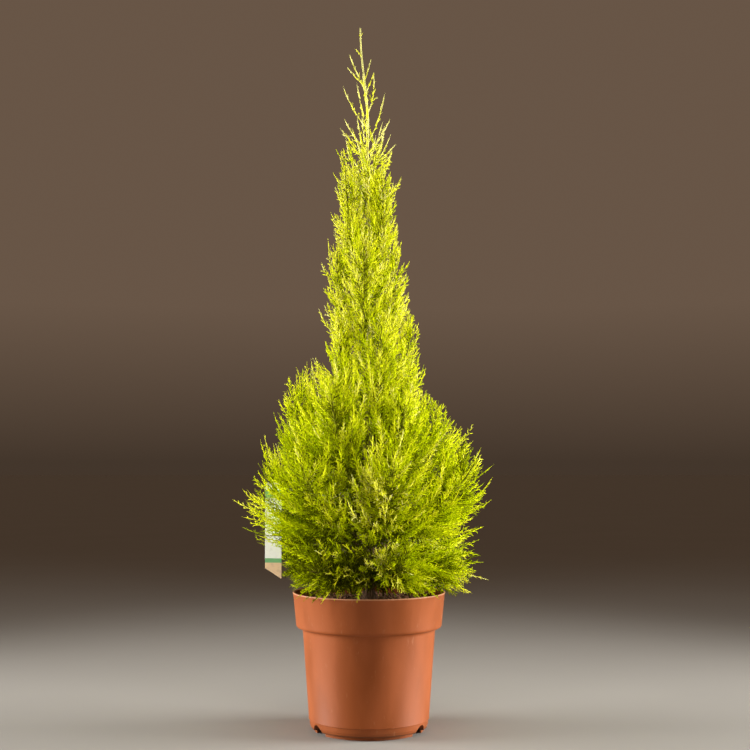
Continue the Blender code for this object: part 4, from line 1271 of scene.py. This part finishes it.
def turned(name, rings, sides, material):
    """A round body: a circle, extruded and scaled ring by ring. Its first and last rings are capped."""
    only()
    radius, height = rings[0]
    bpy.ops.mesh.primitive_circle_add(vertices=sides, radius=radius, location=(0, 0, height))
    piece = named(name, material)
    bpy.ops.object.mode_set(mode="EDIT")
    bpy.ops.mesh.select_all(action="SELECT")
    for next_radius, next_height in rings[1:]:
        rise = (0, 0, next_height - height)
        bpy.ops.mesh.extrude_region_move(TRANSFORM_OT_translate={"value": rise})
        grow = next_radius / radius
        if abs(grow - 1) > 1e-9:
            bpy.ops.transform.resize(value=(grow, grow, 1), center_override=(0, 0, next_height))
        radius, height = next_radius, next_height
    bpy.ops.mesh.select_all(action="DESELECT")
    bpy.ops.mesh.select_mode(type="EDGE")
    bpy.ops.mesh.select_non_manifold(extend=False)
    bpy.ops.mesh.edge_face_add()
    bpy.ops.mesh.select_all(action="SELECT")
    bpy.ops.mesh.normals_make_consistent(inside=False)
    bpy.ops.object.mode_set(mode="OBJECT")
    return piece


def swept(name, places, radii, material, roundness=3):
    """A tapering round limb: a curve with a bevel, made a mesh."""
    line = bpy.data.curves.new(name, "CURVE")
    line.dimensions = "3D"
    line.bevel_depth = 1.0
    line.bevel_resolution = roundness
    line.use_fill_caps = True
    spline = line.splines.new("POLY")
    spline.points.add(len(places) - 1)
    for knot, place, radius in zip(spline.points, places, radii):
        knot.co = (*place, 1)
        knot.radius = radius
    guide = bpy.data.objects.new(name, line)
    bpy.context.scene.collection.objects.link(guide)
    only(guide)
    bpy.ops.object.convert(target="MESH")
    piece = named(name, material)
    bpy.ops.object.mode_set(mode="EDIT")
    bpy.ops.mesh.select_all(action="SELECT")
    bpy.ops.mesh.remove_doubles(threshold=1e-6)
    bpy.ops.mesh.normals_make_consistent(inside=False)
    bpy.ops.object.mode_set(mode="OBJECT")
    return piece


def roughen(piece, depth, grain, stretch, smooth_from=1.0):
    """Raises upright ridges on bark by moving each vertex along its normal, less and less up to a height."""
    normals = [vertex.normal.copy() for vertex in piece.data.vertices]
    for vertex, normal in zip(piece.data.vertices, normals):
        spot = Vector((vertex.co.x * grain, vertex.co.y * grain, vertex.co.z * grain / stretch))
        share = 1 - min(vertex.co.z / smooth_from, 0.98)
        vertex.co += normal * (depth * share * noise.fractal(spot, 0.9, 2.0, 3))
    piece.data.update()


def join(name, pieces):
    only(*pieces)
    bpy.ops.object.join()
    whole = bpy.context.active_object
    whole.name = name
    whole.data.name = name
    return whole


def size_setting(label, description, default):
    return bpy.props.FloatProperty(
        name=label, description=description, default=default, unit="LENGTH", precision=4)


def colour_setting(label, description, default):
    return bpy.props.FloatVectorProperty(
        name=label, description=description, default=default, subtype="COLOR", min=0, max=1)


class PotSettings(bpy.types.PropertyGroup):
    rim_radius: size_setting("Rim radius", "Outer radius of the rim", RIM)
    height: size_setting("Height", "From the foot to the rim", POT_TOP)
    wall: size_setting("Wall", "Thickness of the moulded wall", 0.0018)
    colour: colour_setting("Plastic", "Terracotta colour of the plastic", (0.335, 0.084, 0.020))
    roughness: bpy.props.FloatProperty(
        name="Roughness", description="Gloss of the plastic, 0 is a mirror", default=0.44, min=0, max=1)


class SoilSettings(bpy.types.PropertyGroup):
    crumbs: bpy.props.IntProperty(
        name="Crumbs", description="Loose crumbs of peat on the soil", default=1500, min=0)
    crumb_size: size_setting("Crumb size", "Radius of a middling crumb", 0.0017)
    colour: colour_setting("Peat", "Colour of the damp peat", (0.220, 0.108, 0.060))


class WoodSettings(bpy.types.PropertyGroup):
    relief: size_setting("Bark relief", "Depth of the ridges in the bark", 0.0006)
    bark_colour: colour_setting("Bark", "Colour of the old bark", (0.155, 0.088, 0.048))
    leader_colour: colour_setting("Leader", "Colour of the young leader", (0.93, 0.89, 0.27))


class FoliageSettings(bpy.types.PropertyGroup):
    density: bpy.props.FloatProperty(
        name="Density", description="Share of the full number of plumes", default=1.0, min=0.1, max=1.2)
    twig_spacing: size_setting("Twig spacing", "Step between side twigs along a plume", 0.0032)
    twig_length: size_setting("Twig length", "Longest side twig", 0.0160)
    branchlet_spacing: size_setting("Branchlet spacing", "Step between branchlets along a twig", 0.0036)
    needle_spacing: size_setting("Needle spacing", "Step between needles", 0.0034)
    needle_length: size_setting("Needle length", "Length of a needle", 0.0034)
    needle_width: size_setting("Needle width", "Width of a needle", 0.0009)


class TagSettings(bpy.types.PropertyGroup):
    width: size_setting("Width", "Width of the care tag", TAG_WIDTH)
    height: size_setting("Height", "Height of the care tag", TAG_HEIGHT)
    face: colour_setting("Face", "Colour of the bare face", (0.98, 0.99, 0.97))
    band: colour_setting("Band", "Colour of the plain band", (0.20, 0.48, 0.22))
    foot: colour_setting("Foot", "Colour of the slanted foot", (0.88, 0.62, 0.40))


class StageSettings(bpy.types.PropertyGroup):
    distance: size_setting("Distance", "From the lens to the trunk", 1.593)
    lens_height: size_setting("Lens height", "Height of the lens above the floor", 0.333)
    focal_length: bpy.props.FloatProperty(
        name="Focal length", description="In millimetres, on a sensor 36 mm wide", default=61.06)
    rise: bpy.props.FloatProperty(
        name="Frame shift", description="Upward shift of the frame, as a share of its width", default=0.077)
    side_light: bpy.props.FloatProperty(
        name="Side light", description="Power of each tall side light in watts", default=18.3)
    floor_colour: colour_setting("Floor", "Colour of the pale floor", (0.36, 0.345, 0.32))


def pot_rings(settings):
    """Radius and height of each ring of the pot, from the middle of its inner floor to its underside.

    Each stretch has a radius and a height of its own, and steps out and up from them.
    """
    rim, top, wall = settings.rim_radius, settings.height, settings.wall
    step = top - COLLAR_HEIGHT
    collar, shoulder = rim - COLLAR_FOOT_INSET, rim - SHOULDER_INSET
    heel, foot = rim - HEEL_INSET, rim - FOOT_INSET
    floor = FLOOR_UNDERSIDE + FLOOR_THICKNESS
    stretches = (
        (CAP_RADIUS, floor, ((0, 0),)),
        (heel - wall, floor, ((-0.004, 0), (-0.001, 0.001), (0, 0.004))),
        (shoulder - wall, step, ((0, -0.001),)),
        (collar - wall, step, ((-0.001, 0.0008), (0, 0.0022))),
        (rim - wall, top, ((-0.0006, -0.0006), (0.0002, -0.0001), (0.0006, 0))),
        (rim, top, ((-0.0006, 0), (-0.0002, -0.0002), (0, -0.0008), (-0.0001, -0.0014), (-0.0006, -0.0022))),
        (collar, step, ((0.0002, 0.0044), (0, 0.0030), (-0.0005, 0.0018), (-0.0013, 0.0008),
                        (-0.0025, 0.0002), (-0.0038, 0))),
        (shoulder, step, ((0.0022, -0.0003), (0.0012, -0.0010), (0.0005, -0.0020), (0.0001, -0.0034),
                          (-0.0001, -0.0050))),
        (heel, 0, ((0.0010, 0.0162), (0.0012, 0.0158), (0.0012, 0.0150), (0.0003, 0.0146),
                   (-0.0001, 0.0120), (-0.0003, 0.0085), (-0.0004, 0.0081), (-0.0009, 0.0077),
                   (-0.0016, 0.0048), (-0.0021, 0.0041))),
        (foot, 0, ((0.0004, 0.0038), (0, 0.0034), (-0.0002, 0))),
        (foot - FOOT_WIDTH, 0, ((0, 0), (0, FLOOR_UNDERSIDE))),
        (CAP_RADIUS, FLOOR_UNDERSIDE, ((0, 0),)),
    )
    return [(radius + out, height + up) for radius, height, steps in stretches for out, up in steps]


def cut_notch(pot, degrees, radius):
    """Cuts one drainage notch with an arched bar that runs out through the skirt."""
    azimuth = math.radians(degrees)
    only()
    bpy.ops.mesh.primitive_cylinder_add(
        vertices=28, radius=1, depth=NOTCH_DEPTH, scale=NOTCH_BAR,
        location=(math.cos(azimuth) * radius, math.sin(azimuth) * radius, 0),
        rotation=(math.pi / 2, 0, azimuth + math.pi / 2))
    cutter = bpy.context.active_object
    bpy.ops.object.transform_apply(location=True, rotation=True, scale=True)
    apply_modifier(pot, "BOOLEAN", operation="DIFFERENCE", solver="EXACT", object=cutter)
    bpy.data.objects.remove(cutter)


class CYPRESS_OT_pot(bpy.types.Operator):
    """Models the moulded nursery pot with its collar, its heel lines and three drainage notches"""

    bl_idname = "cypress.pot"
    bl_label = "Pot"

    def execute(self, context):
        settings = context.scene.cypress_pot
        pot = turned("nursery_pot", pot_rings(settings), POT_SIDES, pot_plastic(settings))
        for degrees in NOTCH_AZIMUTHS:
            cut_notch(pot, degrees, settings.rim_radius - FOOT_INSET)
        only(pot)
        bpy.ops.object.shade_smooth_by_angle(angle=POT_SMOOTH_ANGLE)
        finish_piece(pot, "pot_plastic", "pot")
        return {"FINISHED"}


def soil_height(ring):
    """Height of the soil at a distance from the trunk: a low mound, level near the wall."""
    return SOIL_EDGE + (SOIL_CROWN - SOIL_EDGE) * (1 - smoothstep(*SOIL_SLOPE, ring))


def scatter_crumbs(settings, draw, radius, material):
    """Loose crumbs: one lumpy grain, copied, turned and squashed, all joined from arrays."""
    only()
    bpy.ops.mesh.primitive_ico_sphere_add(subdivisions=1, radius=1)
    grain = bpy.context.active_object
    corners = np.array([vertex.co for vertex in grain.data.vertices])
    faces = np.array([polygon.vertices for polygon in grain.data.polygons])
    bpy.data.objects.remove(grain)
    count = settings.crumbs
    ring = np.sqrt(draw.uniform(*CRUMB_RING, count)) * radius
    place = on_ring(draw.uniform(0, math.tau, count), ring)
    size = np.minimum(settings.crumb_size * draw.lognormal(0, CRUMB_SPREAD, count), LARGEST_CRUMB)
    place[:, 2] = soil_height(ring) + size * CRUMB_SUNK
    x, y, z = np.moveaxis(corners[None] * draw.uniform(*CRUMB_LUMPS, (count, len(corners), 1)), -1, 0)
    squash = draw.uniform(*CRUMB_SQUASH, (count, 1, 3))
    spin = draw.uniform(0, math.tau, count)[:, None]
    spun = np.stack([x * np.cos(spin) - y * np.sin(spin), x * np.sin(spin) + y * np.cos(spin), z], -1)
    lumps = spun * squash * size[:, None, None] + place[:, None]
    order = (np.arange(count)[:, None, None] * len(corners) + faces[None]).reshape(-1, 3)
    return piece_from_arrays("soil_crumbs", lumps.reshape(-1, 3), order, material)


class CYPRESS_OT_soil(bpy.types.Operator):
    """Models the soil that fills the pot, with an uneven top and loose crumbs of peat"""

    bl_idname = "cypress.soil"
    bl_label = "Soil"

    def execute(self, context):
        settings = context.scene.cypress_soil
        material = soil_material(settings)
        edge = SOIL_BOX[1][0] - SOIL_INSET
        side = [SOIL_FOOT, SOIL_STEP, (edge - 0.0012, 0.131), (edge, 0.1575), (edge - 0.0006, 0.1588)]
        rings = np.linspace(edge - 0.002, 0.0025, SOIL_RINGS)
        top = [(float(ring), float(soil_height(ring))) for ring in rings]
        soil = turned("soil_bed", side + top, SOIL_SIDES, material)
        for vertex in soil.data.vertices:
            ring = math.hypot(vertex.co.x, vertex.co.y)
            if vertex.co.z > SOIL_EDGE - 0.0005 and ring < edge - 0.0015:
                lump = noise.fractal(vertex.co * LUMP_GRAIN, 0.8, 2.1, 4)
                vertex.co.z += LUMP_HEIGHT * lump * min(1.0, (edge - ring) / LUMP_FADE)
        only(soil)
        bpy.ops.object.shade_smooth()
        finish_piece(soil, "soil", "soil")
        crumbs = scatter_crumbs(settings, np.random.default_rng(SEED + 1), edge - 0.003, material)
        finish_piece(crumbs, "soil", "soil")
        return {"FINISHED"}


class CYPRESS_OT_wood(bpy.types.Operator):
    """Models the trunk and the boughs with the relief of their bark"""

    bl_idname = "cypress.wood"
    bl_label = "Trunk and boughs"

    def execute(self, context):
        settings = context.scene.cypress_wood
        material = bark_material(settings)
        foot = TRUNK_BOX[0][2]
        share = np.arange(TRUNK_RINGS) / (TRUNK_RINGS - 1)
        heights = foot + (TREE_TOP - foot) * share**TRUNK_RING_CROWDING
        places = trunk_place(heights)
        places[:PLUMB_RINGS, :2] = places[0, :2]
        trunk = swept("trunk_bark", places, trunk_radius(heights) * UNDER_BARK_SHARE, material, roundness=5)
        roughen(trunk, settings.relief, BARK_GRAIN, stretch=5.0, smooth_from=RIPE_WOOD_HEIGHT)
        for vertex in trunk.data.vertices:
            vertex.co.z = min(max(vertex.co.z, foot), TREE_TOP)
        only(trunk)
        bpy.ops.object.shade_smooth_by_angle(angle=BARK_SMOOTH_ANGLE)
        finish_piece(trunk, "bark", "trunk")
        boughs, nodes = [], []
        for limb in lay_out_limbs():
            if not limb.tier.bough:
                continue
            places = along(limb, np.linspace(0.0, limb.tier.bough, BOUGH_RINGS))[0]
            radii = np.linspace(BOUGH_ROOT_RADIUS, STEM_RADIUS, BOUGH_RINGS)
            bough = swept(limb.name + "_wood", places, radii, material)
            roughen(bough, settings.relief * BOUGH_RELIEF_SHARE, BOUGH_GRAIN, stretch=2.0)
            boughs.append(bough)
            nodes.append(limb.name.replace("_", "_bough_"))
        whole = join("bough_bark", boughs)
        bpy.ops.object.shade_smooth_by_angle(angle=BARK_SMOOTH_ANGLE)
        finish_piece(whole, "bark", *nodes)
        return {"FINISHED"}


def limb_stems(limbs, material):
    """Each limb's wood inside its mass, from the bough's end to the tip, as one joined mesh."""
    parts, orders, made = [], [], 0
    spin = np.arange(STEM_SIDES) * math.tau / STEM_SIDES
    for limb in limbs:
        shares = np.linspace(limb.tier.bough, 1.0, STEM_RINGS)
        place, way, side, over = along(limb, shares)
        radius = STEM_RADIUS * (1 - STEM_TAPER * (shares - shares[0]) / (1 - shares[0]))
        around = side[:, None] * np.cos(spin)[:, None] + over[:, None] * np.sin(spin)[:, None]
        tube = place[:, None] + around * radius[:, None, None]
        parts.append(np.concatenate([tube.reshape(-1, 3), place[-1:] + way[-1:] * 0.001]))
        last = made + (STEM_RINGS - 1) * STEM_SIDES
        for ring in range(made, last, STEM_SIDES):
            for i in range(STEM_SIDES):
                a, b = ring + i, ring + (i + 1) % STEM_SIDES
                orders += [(a, b, b + STEM_SIDES), (a, b + STEM_SIDES, a + STEM_SIDES)]
        orders += [(last + i, last + (i + 1) % STEM_SIDES, last + STEM_SIDES) for i in range(STEM_SIDES)]
        made += len(parts[-1])
    return piece_from_arrays("limb_stems", np.concatenate(parts), np.array(orders), material)


def deal_shades(score, draw):
    """Turns a score between 0 and 1, the foliage's own tone with painted light and shade in it, into a
    shade's number, with a little scatter.
    """
    score = np.clip(score + draw.normal(0, SHADE_SCATTER, len(score)), 0, 1)
    steps = np.array([least for _, _, least in SHADES[:-1]])
    return (score[:, None] < steps).sum(1)


class CYPRESS_OT_foliage(bpy.types.Operator):
    """Grows the plumes, twigs, branchlets and needles on from the limbs, inside the crown"""

    bl_idname = "cypress.foliage"
    bl_label = "Foliage"

    def execute(self, context):
        settings = context.scene.cypress_foliage
        draw = np.random.default_rng(SEED)
        limbs = lay_out_limbs()
        masses = [limb.name for limb in limbs]
        plumes = all_plumes(limbs, draw, settings.density)
        slim = plumes.slim > ALL_SLIM
        fresh_and_lit = freshness_and_painted_light(plumes, draw)
        palest = np.where(slim, 1.0, PALEST_SPRAY)

        twigs, owner = cut_back(*grow_twigs(plumes, draw, settings))
        branchlets, twig_of = cut_back(*grow_branchlets(twigs, draw, settings))
        stems = plume_stems(plumes)
        outer, outer_of = cut_back(stems[-1], np.arange(len(slim)))
        bare = [pick(part, slim) for part in stems[:-1]]
        spurs = leader_spurs(draw)
        threads = joined([twigs, branchlets, outer, *bare, spurs])
        tip_gain = TWIG_TIP_GAIN * (twigs.shade - TWIG_TIP_MIDDLE)
        twig_score = np.minimum(fresh_and_lit[owner] + tip_gain, palest[owner])
        stem_score = np.minimum(fresh_and_lit[outer_of] + STEM_FRESHNESS, palest[outer_of])
        leader_score = np.full(len(spurs.start) + len(bare) * slim.sum(), LEADER_FRESHNESS)
        scores = [twig_score, twig_score[twig_of] + BRANCHLET_FRESHNESS, stem_score, leader_score]
        shades = deal_shades(np.concatenate(scores), draw)

        for number, (label, colour, _) in enumerate(SHADES):
            dealt = pick(threads, np.flatnonzero(shades == number))
            material = principled(f"foliage_{label}", colour, roughness=0.90, specular=0.0)[0]
            weight = faces_in_core(dealt) + 2 * needles_on(dealt, settings.needle_spacing)
            for part, portion in enumerate(portions(weight, PIECE_LIMIT), 1):
                some = pick(dealt, portion)
                corners, faces = needle_mesh(some, settings, draw)
                core_corners, core_faces = core_mesh(some)
                piece = piece_from_arrays(
                    f"needles_{label}_{part}", np.concatenate([corners, core_corners]),
                    np.concatenate([faces, core_faces + len(corners)]), material)
                finish_piece(piece, "shoot_tips" if number == 0 else "foliage", *masses)

        inner = joined([cut_back(pick(part, ~slim))[0] for part in stems[:-1]])
        green = twig_material("green_twigs", GREEN_STREAKS, roughness=0.85)
        finish_piece(piece_from_arrays("plume_stems", *core_mesh(inner), green), "foliage", *masses)
        wood = twig_material("limb_wood", BROWN_STREAKS, OLIVE_STREAKS, roughness=0.78)
        leafy_limbs = [limb for limb in limbs if limb.tier.name != "spire"]
        finish_piece(limb_stems(leafy_limbs, wood), "low_foliage", *masses)
        return {"FINISHED"}


def tag_plate(settings, face, left, across):
    """The flat tag: cut across at its bands, slanted at its foot, softened at its edges, a little curled."""
    wide, tall = settings.width, settings.height
    foot_top, line_top, band_low, band_high = TAG_LEVELS
    only()
    bpy.ops.mesh.primitive_cube_add(size=1, location=(0, 0, 0), scale=(wide, TAG_THICKNESS, tall))
    plate = named("care_tag_plate", face)
    plate.data.materials.append(tag_material("tag_band", settings.band, soiling=0.8))
    plate.data.materials.append(tag_material("tag_foot", settings.foot, soiling=0.85))
    bpy.ops.object.mode_set(mode="EDIT")
    for level in TAG_LEVELS:
        bpy.ops.mesh.select_all(action="SELECT")
        bpy.ops.mesh.bisect(plane_co=(0, 0, level - tall / 2), plane_no=(0, 0, 1), use_fill=False)
    bpy.ops.object.mode_set(mode="OBJECT")
    for polygon in plate.data.polygons:
        level = polygon.center.z + tall / 2
        if level < foot_top:
            polygon.material_index = 2
        elif level < line_top or band_low < level < band_high:
            polygon.material_index = 1
    for vertex in plate.data.vertices:
        if vertex.co.z < 0.001 - tall / 2:
            vertex.co.z += TAG_SLANT * (0.5 - vertex.co.x / wide)
    apply_modifier(plate, "BEVEL", width=TAG_EDGE, segments=2)
    thickness_way = across.cross(Vector(UP))
    for vertex in plate.data.vertices:
        x, y, z = vertex.co
        curl = TAG_CURL * math.sin(math.pi * (z / tall + 0.5))
        place = left + across * (x + wide / 2) + Vector((0, 0, z + tall / 2))
        vertex.co = place + thickness_way * (y + curl)
    return plate


def tag_strap(face, top, end, across):
    """The flat strap, which sags a little from the ring to the tag."""
    only()
    bpy.ops.mesh.primitive_grid_add(x_subdivisions=4, y_subdivisions=16, size=1, location=(0, 0, 0))
    strap = named("care_tag_strap", face)
    for vertex in strap.data.vertices:
        x, y, _ = vertex.co
        sag = Vector((0, 0, -STRAP_SAG * (1 - (2 * y) ** 2)))
        vertex.co = top.lerp(end, y + 0.5) + across * (x * STRAP_WIDTH) + sag
    apply_modifier(strap, "SOLIDIFY", thickness=TAG_THICKNESS, offset=0)
    return strap


class CYPRESS_OT_care_tag(bpy.types.Operator):
    """Models the bare care tag with its band, its slanted foot, its strap and its ring"""

    bl_idname = "cypress.care_tag"
    bl_label = "Care tag"

    def execute(self, context):
        settings = context.scene.cypress_tag
        face = tag_material("tag_face", settings.face, soiling=0.9)
        across = Vector((math.cos(TAG_TURN), -math.sin(TAG_TURN), 0))
        limb = next(limb for limb in lay_out_limbs() if limb.name == TAG_LIMB)
        hung_from = along(limb, np.array([TAG_BOUGH_SHARE * limb.tier.bough]))
        ring_place, ring_way = (Vector(values[0]) for values in hung_from[:2])
        left = Vector((TAG_BOX[0][0] + TAG_EDGE, ring_place.y, TAG_BOX[0][2]))
        finish_piece(tag_plate(settings, face, left, across), "tag_plastic", "care_tag")

        up = Vector(UP)
        below = up.cross(ring_way).cross(ring_way).normalized()
        below = below if below.z < 0 else -below
        bough_radius = STEM_RADIUS + (BOUGH_ROOT_RADIUS - STEM_RADIUS) * (1 - TAG_BOUGH_SHARE)
        ring_radius = bough_radius + TAG_RING_GAP
        only()
        bpy.ops.mesh.primitive_torus_add(
            major_segments=40, minor_segments=10, major_radius=ring_radius, minor_radius=TAG_RING_THICKNESS,
            location=ring_place, rotation=ring_way.to_track_quat("Z", "Y").to_euler())
        ring = named("care_tag_ring", face)
        bpy.ops.object.shade_smooth()
        end = left + across * (settings.width / 2) + up * (settings.height - STRAP_OVERLAP)
        strap = tag_strap(face, ring_place + below * ring_radius, end, across)
        finish_piece(join("care_tag_strap", [strap, ring]), "tag_plastic", "care_tag")
        return {"FINISHED"}


class CYPRESS_OT_stage(bpy.types.Operator):
    """Sets the pale floor, the two side lights, the top light, the backdrop and the camera"""

    bl_idname = "cypress.stage"
    bl_label = "Stage"

    def execute(self, context):
        settings = context.scene.cypress_stage
        paint, tree, shader = principled("floor_paint", settings.floor_colour, roughness=0.7, specular=0.2)
        worn = shaded(settings.floor_colour, 0.97)
        mottle = patches(tree, object_coordinates(tree), worn, settings.floor_colour,
                         scale=3.0, low=0.3, high=0.7)
        tree.links.new(mottle["Colour"], shader["Base Color"])
        only()
        bpy.ops.mesh.primitive_plane_add(size=FLOOR_SIZE, location=(0, 0, -FLOOR_DROP))
        floor = named("studio_floor", paint)
        for name, (degrees, distance, height, width, tall, share) in LIGHTS.items():
            azimuth = math.radians(degrees)
            place = Vector((math.sin(azimuth) * distance, -math.cos(azimuth) * distance, height))
            bpy.ops.object.light_add(type="AREA", location=place)
            light = bpy.context.active_object
            light.name = name
            light.data.shape = "RECTANGLE"
            light.data.size = width
            light.data.size_y = tall
            light.data.spread = LIGHT_SPREAD
            light.data.energy = settings.side_light * share
            light.data.color = LIGHT_COLOUR
            light.rotation_euler = (LIGHT_AIM - place).to_track_quat("-Z", "Y").to_euler()
        world = bpy.data.worlds.new("studio")
        world.use_nodes = True
        tree = world.node_tree
        upward = add_node(tree, "SeparateXYZ", {"Vector": coordinates_of(tree, "Generated")}).outputs["Z"]
        sky = mixed(tree, remapped(tree, upward, *SKY_RAMP), SKY_LOW, SKY_HIGH)
        tree.links.new(sky, tree.nodes["Background"].inputs["Color"])
        context.scene.world = world
        context.scene.view_settings.view_transform = "Standard"
        bpy.ops.object.camera_add(location=(0, -settings.distance, settings.lens_height))
        camera = bpy.context.active_object
        camera.name = "camera"
        camera.data.sensor_width = SENSOR_WIDTH
        camera.data.lens = settings.focal_length
        camera.data.shift_y = settings.rise
        camera.rotation_euler = (math.radians(90 + CAMERA_TILT), 0, math.radians(CAMERA_TURN))
        context.scene.camera = camera
        return {"FINISHED"}


class CYPRESS_PT_panel(bpy.types.Panel):
    """Lists the steps in the order in which they are run"""

    bl_idname = "CYPRESS_PT_panel"
    bl_label = "Lemon cypress"
    bl_space_type = "VIEW_3D"
    bl_region_type = "UI"
    bl_category = "Cypress"

    def draw(self, context):
        for operator, group in STEPS:
            box = self.layout.box()
            box.operator(operator.bl_idname)
            settings = getattr(context.scene, group)
            for label in settings.__annotations__:
                box.prop(settings, label)


STEPS = (
    (CYPRESS_OT_pot, "cypress_pot"),
    (CYPRESS_OT_soil, "cypress_soil"),
    (CYPRESS_OT_wood, "cypress_wood"),
    (CYPRESS_OT_foliage, "cypress_foliage"),
    (CYPRESS_OT_care_tag, "cypress_tag"),
    (CYPRESS_OT_stage, "cypress_stage"),
)
GROUPS = (PotSettings, SoilSettings, WoodSettings, FoliageSettings, TagSettings, StageSettings)
CLASSES = (*GROUPS, *(operator for operator, _ in STEPS), CYPRESS_PT_panel)


def register():
    for made in CLASSES:
        bpy.utils.register_class(made)
    for (_, name), group in zip(STEPS, GROUPS):
        setattr(bpy.types.Scene, name, bpy.props.PointerProperty(type=group))


def unregister():
    for _, name in STEPS:
        delattr(bpy.types.Scene, name)
    for made in reversed(CLASSES):
        bpy.utils.unregister_class(made)


def main():
    register()
    bpy.ops.cypress.pot()
    bpy.ops.cypress.soil()
    bpy.ops.cypress.wood()
    bpy.ops.cypress.foliage()
    bpy.ops.cypress.care_tag()
    bpy.ops.cypress.stage()


if __name__ == "__main__":
    main()
